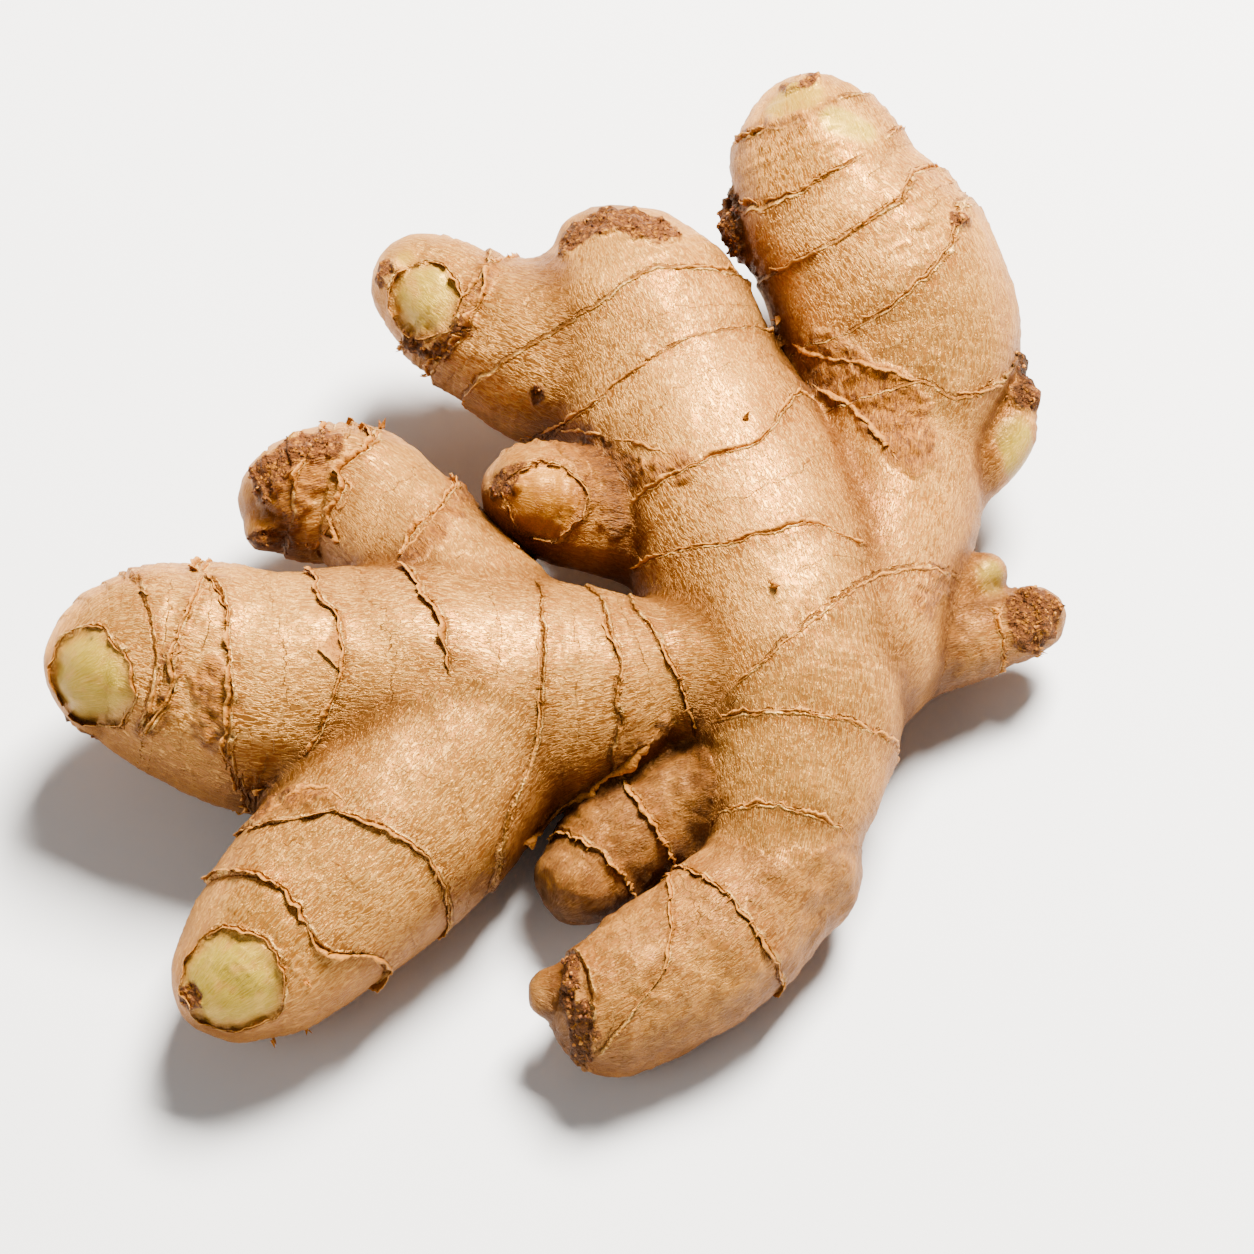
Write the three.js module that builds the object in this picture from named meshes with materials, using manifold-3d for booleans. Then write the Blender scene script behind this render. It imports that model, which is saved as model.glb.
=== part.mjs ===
// A whole hand of fresh ginger root, as dug and washed: one grown piece, so one solid.
// A thick stem carries stubby fingers, which carry smaller buds. Every finger is ringed by the
// thin raised scars that its leaf scales left, and it lies on the flat spots under its fingers.
// Units are millimetres. +Z is up, +X to the right and +Y away from whoever looks at it.
import * as THREE from "three";
import { mergeVertices } from "three/addons/utils/BufferGeometryUtils.js";
import Module from "manifold-3d";

const wasm = await Module();
wasm.setup();

// Stations are laid out as the root is seen from here: across and up are millimetres in the
// plane that faces the eye and passes through AIM, and height is above the surface it lies on.
const VIEW_ELEVATION = THREE.MathUtils.degToRad(58);
const VIEW_DISTANCE = 600;
const AIM = new THREE.Vector3(0, 0, 20);
const TO_EYE = new THREE.Vector3(0, -Math.cos(VIEW_ELEVATION), Math.sin(VIEW_ELEVATION));
const PICTURE_UP = new THREE.Vector3(0, Math.sin(VIEW_ELEVATION), Math.cos(VIEW_ELEVATION));
const EYE = AIM.clone().addScaledVector(TO_EYE, VIEW_DISTANCE);

// The middle of the finished root's outline on the surface, which becomes the origin.
const MIDDLE = new THREE.Vector3(-8.6, 10.9, 0);

// Leaf scars: a ridge that rises slowly from the root side and drops sharply on the tip side.
const SCAR_LIFT = 0.75;
const SCAR_RAMP = 1.7;
const SCAR_DROP = 0.5;
const SCAR_WAVE = 0.35;

// The skin's shallow lumps, and how blunt the ends are against a half ball.
const LUMP_HEIGHT = 0.45;
const LUMP_SPAN = 6.5;
const TIP_BLUNTNESS = 0.8;

const FINGER_SIDES = 20;
const BUD_SIDES = 12;
const LOOP_SPACING = 6.5;
const CAP_STEPS = [0.4, 0.72, 0.92, 1];

// A finger's stations run from its root, sunk in what it grows from, to the centre of its tip:
// [across, up, height, radius]. Its scars are [station, lean, bow]: lean moves the ring's left
// side towards the tip and its right side back, and bow moves the side that faces the eye.
const FINGERS = {
  stem: {
    stations: [
      [20.5, -35.5, 13, 9],
      [23, -21.5, 14.5, 12.5],
      [23.5, -7.5, 16.5, 15.5],
      [20, 5, 17, 17.5],
      [13.5, 18, 17.5, 18],
      [6.5, 30.5, 18.5, 17.5],
      [2.5, 41.5, 22, 15.9],
      [-0.5, 48.5, 25, 11.5],
    ],
    scars: [[0.5, 0, 0], [1.5, 1, 0], [2.55, 5, 0], [3.3, 5, 0], [4.4, 4, -2], [5.4, 0, 0], [6.2, 0, 0]],
  },
  stem_top: {
    stations: [
      [-1, 43, 21, 10],
      [-3.5, 50, 25, 8],
      [-4, 53.5, 27, 6],
    ],
    scars: [[1.5, 0, 0]],
    sides: BUD_SIDES,
  },
  tall_finger: {
    stations: [
      [31, -2, 14.5, 14],
      [35.5, 12, 14, 13.5],
      [37, 25, 14.5, 14.3],
      [38.8, 37.5, 18, 17.3],
      [36, 48.5, 23, 17.6],
      [30, 57.2, 27, 15],
      [26.6, 65, 31, 12.6],
      [25, 70.5, 33.5, 7.5],
    ],
    scars: [[1.6, 0, 0], [2.65, 2, -2], [3.9, -5, 0], [5.05, -1.5, 0], [5.9, 0, 0], [6.75, 1, 0]],
  },
  upper_left_finger: {
    stations: [
      [-1, 36, 19, 14],
      [-11, 38.5, 19.5, 13.4],
      [-21.5, 43, 20.5, 10.6],
      [-26.7, 46.6, 22, 8.8],
      [-29.5, 48.3, 23, 7],
    ],
    scars: [[2.75, 1, 0], [4.35, 0, 0]],
  },
  left_finger: {
    stations: [
      [24, -9, 16.5, 12.5],
      [13, -7, 17.5, 11.5],
      [3, -7.5, 17.5, 11.2],
      [-5, -9, 17, 14.3],
      [-15, -9.5, 16.5, 16.8],
      [-26, -8.5, 17, 17.6],
      [-39, -9, 17, 17.2],
      [-50, -9, 17.5, 17],
      [-59, -6.5, 19, 15.7],
      [-67, -4.5, 20.5, 12.9],
      [-72, -5.8, 22, 9.2],
    ],
    scars: [
      [1.75, 1, 0], [2.45, 0, 0], [3.65, 0, 0], [4.93, 0, 0], [6.05, 3, -2],
      [7.45, 1.5, 0], [8.3, -2, 0], [9.05, 1, 0], [10.15, -1, 0],
    ],
  },
  near_finger: {
    stations: [
      [-22, -14.5, 16.5, 16],
      [-29, -24, 15.5, 15.7],
      [-35.5, -31, 14.7, 15.1],
      [-42.3, -37.5, 14, 14.1],
      [-49.3, -44.5, 13.5, 12],
      [-55.5, -50, 13, 8.4],
    ],
    scars: [[1.35, 0, 0], [3.05, -3, 0], [4.35, 0, 0], [5.4, 0, 0]],
  },
  far_finger: {
    stations: [
      [-22, -2, 17, 14.7],
      [-28.5, 8.5, 16.5, 11.6],
      [-37.2, 18, 16, 10.3],
      [-43.5, 18.2, 15.5, 9.8],
      [-47.8, 16.6, 15, 6.9],
    ],
    scars: [[0.9, 0, 0], [2.15, 1, 0], [3.2, 0, 0]],
  },
  far_finger_bud: {
    stations: [
      [-47, 17, 15, 5],
      [-49.5, 15, 15.5, 4.2],
      [-51, 13.5, 16, 3.1],
    ],
    scars: [[1.1, 0, 0]],
    sides: BUD_SIDES,
  },
  middle_bud: {
    stations: [
      [5, 14.5, 17, 10],
      [-6, 16.5, 19.5, 9.2],
      [-11, 17.8, 22, 8.4],
      [-14, 18.4, 24, 6.6],
    ],
    scars: [[0.8, 0, 0], [2.3, 0, 0]],
    sides: 16,
  },
  right_bud: {
    stations: [
      [46, 20, 14, 5],
      [52.3, 26.5, 16.5, 5],
      [54.6, 32.5, 19, 3.2],
    ],
    scars: [[0.8, 0, 0], [1.5, 0, 0]],
    sides: BUD_SIDES,
  },
  neck_bud: {
    stations: [
      [19, 53, 25, 3.6],
      [15.8, 55.8, 26, 2.8],
      [14.8, 58, 26.5, 2],
    ],
    scars: [[1.2, 0, 0]],
    sides: BUD_SIDES,
  },
  low_right_bud: {
    stations: [
      [44, 3, 13, 6],
      [50, 7.5, 14, 3.5],
    ],
    sides: BUD_SIDES,
  },
  low_right_knob: {
    stations: [
      [38, -3.5, 12, 8],
      [49.5, -1, 11, 6],
      [57, 1, 10.5, 4.8],
    ],
    scars: [[0.9, 0, 0], [1.7, 0, 0]],
    sides: 16,
  },
  inner_finger: {
    stations: [
      [20, -23, 12.5, 10.5],
      [9, -24.5, 10.5, 8.8],
      [-1, -30, 9, 8.2],
      [-7, -36, 8.5, 6.4],
    ],
    scars: [[0.8, 0, 0], [1.7, 0, 0], [2.7, 0, 0]],
    sides: 18,
  },
  nearest_finger: {
    stations: [
      [22.5, -34, 11.5, 10.5],
      [13, -43, 10.8, 11],
      [4, -49.5, 10, 10.4],
      [-3, -53.5, 9.8, 9.2],
    ],
    scars: [[0.9, 0, 0], [1.75, -4, 0], [3.1, 0, 0]],
    sides: 18,
  },
  nearest_finger_knob: {
    stations: [
      [-5.5, -52.5, 10.5, 5.6],
      [-10.5, -51, 11.5, 3.7],
    ],
    sides: BUD_SIDES,
  },
};

// The point at a height that is seen at (across, up) in the picture plane.
function place([across, up, height]) {
  const seen = AIM.clone();
  seen.x += across;
  seen.addScaledVector(PICTURE_UP, up);
  const ray = seen.sub(EYE);
  const reach = (height - EYE.z) / ray.z;
  return EYE.clone().addScaledVector(ray, reach).sub(MIDDLE);
}

function lumps(point) {
  const { x, y, z } = point;
  const wide = Math.sin(x / LUMP_SPAN + 1.3) * Math.sin(y / LUMP_SPAN + 0.4);
  const fine = Math.sin((x - y) / (0.6 * LUMP_SPAN)) * Math.sin(z / LUMP_SPAN + 2.1);
  return LUMP_HEIGHT * (wide + fine);
}

// The scar rings' lean and bow at any station, blended between rings so that no loops cross.
function slantAt(scars, station, last) {
  const known = [[-1, 0, 0], ...scars, [last + 1, 0, 0]];
  const next = known.findIndex(([at]) => at >= station);
  if (next <= 0) return [0, 0];
  const [from, to] = [known[next - 1], known[next]];
  const share = (station - from[0]) / (to[0] - from[0]);
  return [1, 2].map((i) => THREE.MathUtils.lerp(from[i], to[i], share));
}

function solidOf(geometry) {
  geometry.deleteAttribute("normal");
  geometry.deleteAttribute("uv");
  const merged = mergeVertices(geometry, 1e-4);
  const corners = merged.index.array;
  const triVerts = [];
  for (let i = 0; i < corners.length; i += 3) {
    const [a, b, c] = corners.slice(i, i + 3);
    if (a !== b && b !== c && c !== a) triVerts.push(a, b, c);
  }
  const vertProperties = merged.attributes.position.array;
  const build = (tris) =>
    new wasm.Manifold(new wasm.Mesh({ numProp: 3, vertProperties, triVerts: new Uint32Array(tris) }));
  const solid = build(triVerts);
  return solid.volume() > 0 ? solid : build(triVerts.reverse());
}

// One finger: a lathe's loops, bent along the stations' curve and ringed by the scars.
function fingerSolid({ stations, scars = [], sides = FINGER_SIDES }) {
  const last = stations.length - 1;
  const path = new THREE.CatmullRomCurve3(stations.map(place), false, "catmullrom");
  const girth = new THREE.CatmullRomCurve3(
    stations.map(([, , , radius]) => new THREE.Vector3(radius, 0, 0)), false, "catmullrom");
  const rootRadius = stations[0][3];
  const tipReach = stations[last][3] * TIP_BLUNTNESS;
  const length = path.getLength();
  const speed = (station) => {
    const at = THREE.MathUtils.clamp(station, 0.05, last - 0.05);
    return path.getPoint((at + 0.05) / last).distanceTo(path.getPoint((at - 0.05) / last)) / 0.1;
  };

  // The centre line, the radius and the section's own axes at a station, past the ends too.
  function section(station) {
    const inside = THREE.MathUtils.clamp(station, 0, last);
    const along = path.getTangent(inside / last);
    const over = (station - inside) * speed(inside);
    const reach = over > 0 ? tipReach : rootRadius;
    const centre = path.getPoint(inside / last).addScaledVector(along, THREE.MathUtils.clamp(over, -reach, reach));
    const fall = Math.min(1, Math.abs(over) / reach);
    const left = TO_EYE.clone().cross(along).normalize();
    const facing = along.clone().cross(left);
    return { centre, left, facing, radius: girth.getPoint(inside / last).x * Math.sqrt(1 - fall * fall) };
  }

  const loops = [];
  const addLoop = (station, lift = 0, wave = 0) => loops.push({ station, lift, wave });
  CAP_STEPS.forEach((step) => addLoop((-step * rootRadius) / speed(0)));
  CAP_STEPS.forEach((step) => addLoop(last + (step * tipReach) / speed(last)));
  scars.forEach(([station]) => {
    addLoop(station - SCAR_RAMP / speed(station), 0, SCAR_WAVE);
    addLoop(station, SCAR_LIFT, SCAR_WAVE);
    addLoop(station + SCAR_DROP / speed(station), 0, SCAR_WAVE);
  });
  const plain = Math.max(2, Math.round(length / LOOP_SPACING));
  for (let i = 0; i <= plain; i++) {
    const station = (i / plain) * last;
    const room = (0.45 * LOOP_SPACING + SCAR_RAMP) / speed(station);
    if (scars.every(([scar]) => Math.abs(scar - station) > room)) addLoop(station);
  }
  loops.sort((a, b) => a.station - b.station);

  const rows = loops.length;
  const profile = loops.map((_, row) => new THREE.Vector2(row % (rows - 1) ? 1 : 0, row));
  const lathe = new THREE.LatheGeometry(profile, sides);
  const position = lathe.attributes.position;
  for (let i = 0; i < position.count; i++) {
    const { station, lift, wave } = loops[i % rows];
    const angle = ((Math.floor(i / rows) % sides) / sides) * 2 * Math.PI;
    const isPole = i % rows === 0 || i % rows === rows - 1;
    const [lean, bow] = slantAt(scars, station, last);
    const ripple = wave * (Math.sin(5 * angle + 7 * station) + Math.sin(8 * angle - 3 * station));
    const shift = isPole ? 0 : lean * Math.cos(angle) + bow * Math.sin(angle) + ripple;
    const { centre, left, facing, radius } = section(station + shift / speed(station));
    const out = left.multiplyScalar(Math.cos(angle)).addScaledVector(facing, Math.sin(angle));
    const skin = centre.clone().addScaledVector(out, radius);
    const push = isPole ? 0 : radius + lift + Math.min(1, radius / 8) * lumps(skin);
    position.setXYZ(i, ...centre.addScaledVector(out, push));
  }
  return solidOf(lathe);
}

// The surface it lies on, as a slab whose top shaves the flat spots under the fingers.
function slabSolid() {
  const slab = new THREE.BoxGeometry(400, 400, 40);
  slab.translate(0, 0, -20);
  return solidOf(slab);
}

function meshOf(solid, name, material) {
  const { vertProperties, triVerts, numProp, numVert } = solid.getMesh();
  const points = new Float32Array(numVert * 3);
  for (let i = 0; i < numVert; i++) {
    points.set(vertProperties.subarray(i * numProp, i * numProp + 3), i * 3);
  }
  const geometry = new THREE.BufferGeometry();
  geometry.setAttribute("position", new THREE.BufferAttribute(points, 3));
  geometry.setIndex(new THREE.BufferAttribute(new Uint32Array(triVerts), 1));
  geometry.computeVertexNormals();
  const mesh = new THREE.Mesh(geometry, material);
  mesh.name = name;
  return mesh;
}

const skin = new THREE.MeshStandardMaterial({ color: 0xcb9c6c, roughness: 0.55, metalness: 0 });
const grown = Object.values(FINGERS)
  .map(fingerSolid)
  .reduce((whole, finger) => whole.add(finger));
const root = new THREE.Group();
root.add(meshOf(grown.subtract(slabSolid()), "ginger_root", skin));

export default root;
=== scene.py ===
"""A fresh ginger root, dressed over its CAD solid.

The skin is remeshed from the solid, drawn onto the smooth form that the same fingers make where
they grow into each other, and then given its leaf scars, buds, cork and creases by formula.
Papery edges, scales, shreds and cork crumbs are grown on it with Geometry Nodes.
Shapes are worked out in millimetres and written to the meshes in metres.
"""
import itertools
import math

import bpy
import numpy as np
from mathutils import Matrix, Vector
from mathutils.bvhtree import BVHTree


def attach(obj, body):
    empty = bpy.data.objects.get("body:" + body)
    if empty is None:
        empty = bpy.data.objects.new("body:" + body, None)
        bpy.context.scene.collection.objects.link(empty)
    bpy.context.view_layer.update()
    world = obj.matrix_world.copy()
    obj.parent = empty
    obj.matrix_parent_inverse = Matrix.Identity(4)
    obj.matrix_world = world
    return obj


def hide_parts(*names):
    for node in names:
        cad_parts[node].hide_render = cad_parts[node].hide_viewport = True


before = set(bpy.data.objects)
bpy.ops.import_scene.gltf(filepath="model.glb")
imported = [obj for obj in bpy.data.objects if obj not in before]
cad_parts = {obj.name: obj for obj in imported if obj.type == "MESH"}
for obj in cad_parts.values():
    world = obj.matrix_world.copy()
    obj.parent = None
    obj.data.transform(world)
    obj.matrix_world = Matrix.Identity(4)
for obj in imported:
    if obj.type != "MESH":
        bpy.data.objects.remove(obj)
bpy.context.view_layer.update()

MM = 0.001  # metres

# The view in which the fingers are laid out: across and up are millimetres in the plane that
# faces the eye and passes through AIM, and height is above the surface the root lies on.
VIEW_ELEVATION = math.radians(58)
VIEW_DISTANCE = 600.0
AIM = np.array((0.0, 0.0, 20.0))
TO_EYE = np.array((0.0, -math.cos(VIEW_ELEVATION), math.sin(VIEW_ELEVATION)))
PICTURE_UP = np.array((0.0, math.sin(VIEW_ELEVATION), math.cos(VIEW_ELEVATION)))
PICTURE_ACROSS = np.array((1.0, 0.0, 0.0))
EYE = AIM + VIEW_DISTANCE * TO_EYE
VIEW_WIDTH = 175.56
FILM_WIDTH = 36.0

# The middle of the root's outline on the surface, which is the CAD model's origin.
MIDDLE = np.array((-8.6, 10.9, 0.0))

# Corners closer than this are one: in the solid, and where a thin sheet's two sides meet.
WELD_GAP = 0.001
SEAM_GAP = 0.002

# The skin's mesh: the voxel it is remeshed with, and how many triangles it keeps.
SKIN_VOXEL = 0.36
SKIN_FACES = 195000

# A finger's samples along its centre line, how blunt its end is, how far off it is measured, and
# the height that points beyond that are given.
AXIS_STEP = 1.0
TIP_BLUNTNESS = 0.8
NEAR = 14.0
OUT_OF_REACH = 99.0

# The longest step towards the form along a line of sight, and the gap at which a sight line stops.
LONGEST_STEP = 6.0
TOUCH = 0.02

# A scar's path round its finger: its samples, the angle over which its corners are rounded off,
# and the circle on which its waver is read.
TURN_STEPS = 2881
CORNER_TURN = 0.17
WAVER_RADIUS = 14.0

# How far the shade painted in the fold between two fingers reaches up them.
FOLD_REACH = 5.5

# How far apart the fingers lie on the map of the skin's grain.
GRAIN_SHIFT = 137.0

# Further off than any scar or bud is felt, and the distance from them that the material reads.
FAR = 9.0
READ_REACH = 6

# Buds: the radius from which the edge is fully ragged, and how gently a soft one's edge fades.
RAGGED_RADIUS = 6
SOFTNESS = 0.45

# Relief: how far the skin rises before a scar and drops past it, the collar round a bud, the
# bud's sunken edge and domed middle, and the crease between two fingers.
SCAR_RISE = 0.38
SCAR_DROP = 0.3
COLLAR_RISE = 0.55
BUD_INSET = 0.3
BUD_DOME = 0.8
CREASE_DEPTH = 0.35

# Papery edges: the spacing of their points, the longest gap they bridge, their mean height on
# scars and collars, their thickness, and how deep their foot is sunk in the skin.
EDGE_STEP = 0.32
EDGE_GAP = 1.0
EDGE_HEIGHT = 0.42
EDGE_THICKNESS = 0.09
EDGE_FOOT = 0.12

# Scales, shreds and crumbs: crumbs to the square metre of cork, and sizes in millimetres.
SCALE_THICKNESS = 0.12
SCALE_ROWS = 9
SCALE_STEP = 0.4
SHRED_WIDTH = 0.28
SHREDS_A_SCAR = 26
SHRED_SEED = 11
SHRED_CLEAR_OF_FLOOR = 1.5
CRUMB_DENSITY = 380000.0
CRUMB_RADIUS = 0.32

# The width, thickness and length of each shred in a tuft, as shares of the tuft's size.
TUFT = np.array(((1.3, 0.8, 1.2), (1.0, 0.6, 0.9), (0.9, 0.7, 0.7)))

# Scar edges and collars stop at this height above the surface the root lies on.
CLEAR_OF_FLOOR = 0.4

# What is measured on the skin and read by its material.
ATTRIBUTES = (
    "offset", "lift", "bud_edge", "rimmed", "amber", "cork", "flaky", "golden", "crease", "painted_fold_shade",
    "painted_side_shade", "age",
)

# Each finger: its stations [across, up, height, radius] from its root to its tip, as in the CAD
# model, how softly it grows into the rest, how old its skin is, and its leaf scars. A scar is
# given by places [across, up] where it is seen, and closes round the back by itself.
FINGERS = {
    "stem": {
        "stations": [
            [20.5, -35.5, 13, 9], [23, -21.5, 14.5, 12.5], [23.5, -7.5, 16.5, 15.5],
            [20, 5, 17, 17.5], [13.5, 18, 17.5, 18], [6.5, 30.5, 18.5, 17.5], [2.5, 41.5, 22, 15.9],
            [-0.5, 48.5, 25, 11.5],
        ],
        "blend": 4, "age": 0.15,
        "scars": [
            {"seen": [[-21.5, 33.5], [-14, 39], [-6, 44], [3.5, 50], [14, 49.5]],
             "on": ["upper_left_finger"]},
            {"seen": [[-14, 26], [-8.5, 28.5], [-4.5, 31.5], [0, 35], [7, 40], [15.5, 42]],
             "on": ["upper_left_finger"]},
            {"seen": [[-3.5, 12], [1.5, 18], [6.5, 21], [10.5, 23], [18, 25.5], [21, 29], [24, 33]],
             "lift": 1.2},
            {"seen": [[-3.5, 6], [1, 8], [5.5, 10], [9.5, 11], [14, 11.5], [19.5, 13], [24, 15]]},
            {"seen": [[16, -7.5], [22, -2], [28.5, 3], [38, 8]], "on": ["tall_finger"]},
            {"at": 1.3}, {"at": 0.4},
        ],
    },
    "stem_top": {
        "stations": [[-1, 43, 21, 10], [-3.5, 50, 25, 8], [-4, 53.5, 27, 6]],
        "blend": 3, "age": 0.3,
    },
    "tall_finger": {
        "stations": [
            [31, -2, 14.5, 14], [35.5, 12, 14, 13.5], [37, 25, 14.5, 14.3], [38.8, 37.5, 18, 17.3],
            [36, 48.5, 23, 17.6], [30, 57.2, 27, 15], [26.6, 65, 31, 12.6], [25, 70.5, 33.5, 7.5],
        ],
        "blend": 3.5, "age": 0.15,
        "scars": [
            {"seen": [[41.5, 34.5], [44, 32.5], [47, 32], [50.5, 33.5], [53.5, 35.5], [55, 38]],
             "lift": 1.2},
            {"seen": [[25, 39.5], [28, 40], [32, 42], [35.5, 44], [39.5, 47], [43, 50], [45, 52],
                      [46.5, 55.5], [46.5, 58.5]]},
            {"seen": [[18.5, 48.5], [21.5, 50], [24.5, 51.5], [27.5, 53], [31.5, 55.5], [35.5, 58],
                      [38.5, 60], [40, 63.5]]},
            {"seen": [[15, 59], [17, 58], [20.5, 59.5], [24.5, 61], [28, 63.5], [32, 65.5],
                      [35.5, 68], [37.5, 69.5]]},
            {"seen": [[15.5, 68.5], [20, 69.5], [23, 70.5], [26, 72], [29.5, 74], [32, 74.5]],
             "lift": 1.2},
        ],
    },
    "upper_left_finger": {
        "stations": [
            [-1, 36, 19, 14], [-11, 38.5, 19.5, 13.4], [-21.5, 43, 20.5, 10.6],
            [-26.7, 46.6, 22, 8.8], [-29.5, 48.3, 23, 7],
        ],
        "blend": 4, "age": 0.2,
        "scars": [
            {"seen": [[-27, 37], [-25, 38], [-22, 42], [-20, 46], [-19.5, 50], [-19.5, 53]],
             "lift": 1.5},
            {"seen": [[-31, 40], [-28, 42], [-24.5, 44.5], [-22, 47], [-19.8, 50]], "lift": 1.2},
        ],
    },
    "left_finger": {
        "stations": [
            [24, -9, 16.5, 12.5], [13, -7, 17.5, 11.5], [3, -7.5, 17.5, 11.2], [-5, -9, 17, 14.3],
            [-15, -9.5, 16.5, 16.8], [-26, -8.5, 17, 17.6], [-39, -9, 17, 17.2], [-50, -9, 17.5, 17],
            [-59, -6.5, 19, 15.7], [-67, -4.5, 20.5, 12.9], [-72, -5.8, 22, 9.2],
        ],
        "blend": 4.5, "age": 0.1,
        "scars": [
            {"seen": [[1.5, 2.5], [4, -0.5], [5.5, -3.5], [7, -5.5], [7.5, -8]]},
            {"seen": [[-6, 6.5], [-3.5, 4], [-2, -0.5], [-1, -4], [-0.8, -6.5], [-1.3, -9],
                      [-0.7, -11.5], [-1.3, -15], [-2, -18.5]]},
            {"seen": [[-13.5, 8.5], [-12, 5], [-11.8, 1], [-11.5, -2.5], [-11.8, -6.5], [-12, -10.5],
                      [-12.3, -14.5], [-13, -18.5], [-14.3, -21.5], [-16, -24], [-17, -27],
                      [-17.5, -31]], "on": ["near_finger"]},
            {"seen": [[-31.8, 9.5], [-29.8, 7.2], [-28.4, 4.6], [-26, 1.5], [-25.2, -2], [-25, -6.5],
                      [-24.6, -10.5], [-25.2, -13], [-26.3, -15], [-24.8, -16], [-25.3, -19]],
             "lift": 1.3},
            {"seen": [[-44.2, 8], [-43, 4], [-40, 2], [-39.8, -0.5], [-39.5, -4.5], [-39.9, -6.5],
                      [-40.5, -8.7], [-42, -12.5], [-43.8, -16.3], [-45.6, -19], [-49.8, -22.3]],
             "lift": 1.3},
            {"seen": [[-60.5, 8.5], [-57.3, 6.3], [-56, 2], [-55.6, -3.8], [-55.3, -8],
                      [-55.5, -11.5], [-56, -17]], "lift": 1.2},
            {"seen": [[-59.2, 7.8], [-61, 2.5], [-63, -1], [-64, -4], [-63.2, -6], [-63.2, -8.7],
                      [-64.8, -11.8], [-68, -15]], "lift": 0.9},
            {"seen": [[-69.6, 8], [-67.8, 4.8], [-67, 1.8], [-66.5, -2], [-65.8, -4.2], [-66.4, -8.8],
                      [-67, -12], [-68.6, -15]], "lift": 1.2},
        ],
    },
    "near_finger": {
        "stations": [
            [-22, -14.5, 16.5, 16], [-29, -24, 15.5, 15.7], [-35.5, -31, 14.7, 15.1],
            [-42.3, -37.5, 14, 14.1], [-49.3, -44.5, 13.5, 12], [-55.5, -50, 13, 8.4],
        ],
        "blend": 4, "age": 0.1,
        "scars": [
            {"seen": [[-51, -28], [-45.8, -26.7], [-41.6, -25.3], [-37.5, -26.5], [-33, -28.4],
                      [-28.6, -31.4], [-26.3, -34.7], [-25.2, -37.8], [-24.8, -41.2]]},
            {"seen": [[-58.5, -35.8], [-56.7, -34.4], [-51.8, -34.6], [-48, -36.4], [-46.3, -38.5],
                      [-45, -41.2], [-43.5, -44], [-40.5, -45.7], [-35.3, -46], [-33.7, -47.5],
                      [-34.6, -50.8]], "lift": 1.2},
        ],
    },
    "far_finger": {
        "stations": [
            [-22, -2, 17, 14.7], [-28.5, 8.5, 16.5, 11.6], [-37.2, 18, 16, 10.3],
            [-43.5, 18.2, 15.5, 9.8], [-47.8, 16.6, 15, 6.9],
        ],
        "blend": 2, "age": 0.25,
        "scars": [
            {"seen": [[-23.4, 22], [-24, 19], [-26, 16.5], [-29, 14.3], [-30.8, 11.6], [-31.8, 9.4]],
             "lift": 1.3},
            {"seen": [[-35, 25.8], [-37.4, 24], [-40.5, 21.7], [-39.3, 19.7], [-40.5, 17.5],
                      [-42.3, 15.7], [-43, 13.4], [-45, 10.4], [-49, 8]], "lift": 1.5},
            {"seen": [[-43, 25.8], [-46, 21.3], [-47.2, 18.6], [-46.5, 16], [-47.5, 12.5]],
             "lift": 1.2},
        ],
    },
    "far_finger_bud": {
        "stations": [[-47, 17, 15, 5], [-49.5, 15, 15.5, 4.2], [-51, 13.5, 16, 3.1]],
        "blend": 1.5, "age": 0.4,
    },
    "middle_bud": {
        "stations": [
            [5, 14.5, 17, 10], [-6, 16.5, 19.5, 9.2], [-11, 17.8, 22, 8.4], [-14, 18.4, 24, 6.6],
        ],
        "blend": 1.2, "age": 0.45,
    },
    "right_bud": {
        "stations": [[46, 20, 14, 5], [52.3, 26.5, 16.5, 5], [54.6, 32.5, 19, 3.2]],
        "blend": 1.5, "age": 0.3,
    },
    "neck_bud": {
        "stations": [[19, 53, 25, 3.6], [15.8, 55.8, 26, 2.8], [14.8, 58, 26.5, 2]],
        "blend": 1.5, "age": 0.7,
    },
    "low_right_bud": {
        "stations": [[44, 3, 13, 6], [50, 7.5, 14, 3.5]],
        "blend": 1.5, "age": 0.3,
    },
    "low_right_knob": {
        "stations": [[38, -3.5, 12, 8], [49.5, -1, 11, 6], [57, 1, 10.5, 4.8]],
        "blend": 2, "age": 0.8,
        "scars": [{"at": 1.1}, {"at": 1.8}],
    },
    "inner_finger": {
        "stations": [
            [20, -23, 12.5, 10.5], [9, -24.5, 10.5, 8.8], [-1, -30, 9, 8.2], [-7, -36, 8.5, 6.4],
        ],
        "blend": 1.5, "age": 1,
        "scars": [{"at": 1.6}, {"at": 2.6}],
    },
    "nearest_finger": {
        "stations": [
            [22.5, -34, 11.5, 10.5], [13, -43, 10.8, 11], [4, -49.5, 10, 10.4], [-3, -53.5, 9.8, 9.2],
        ],
        "blend": 1.5, "age": 0.75,
        "scars": [
            {"at": 0.9},
            {"seen": [[6, -47.5], [4, -50], [1, -53.5], [-3, -59], [-6.3, -63]]},
            {"seen": [[-8.7, -44.5], [-5, -50], [-5, -56.5], [-6.5, -62]], "lift": 1.5},
        ],
    },
    "nearest_finger_knob": {
        "stations": [[-5.5, -52.5, 10.5, 5.6], [-10.5, -51, 11.5, 3.7]],
        "blend": 1, "age": 0.7,
    },
}
NAMES = list(FINGERS)

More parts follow.
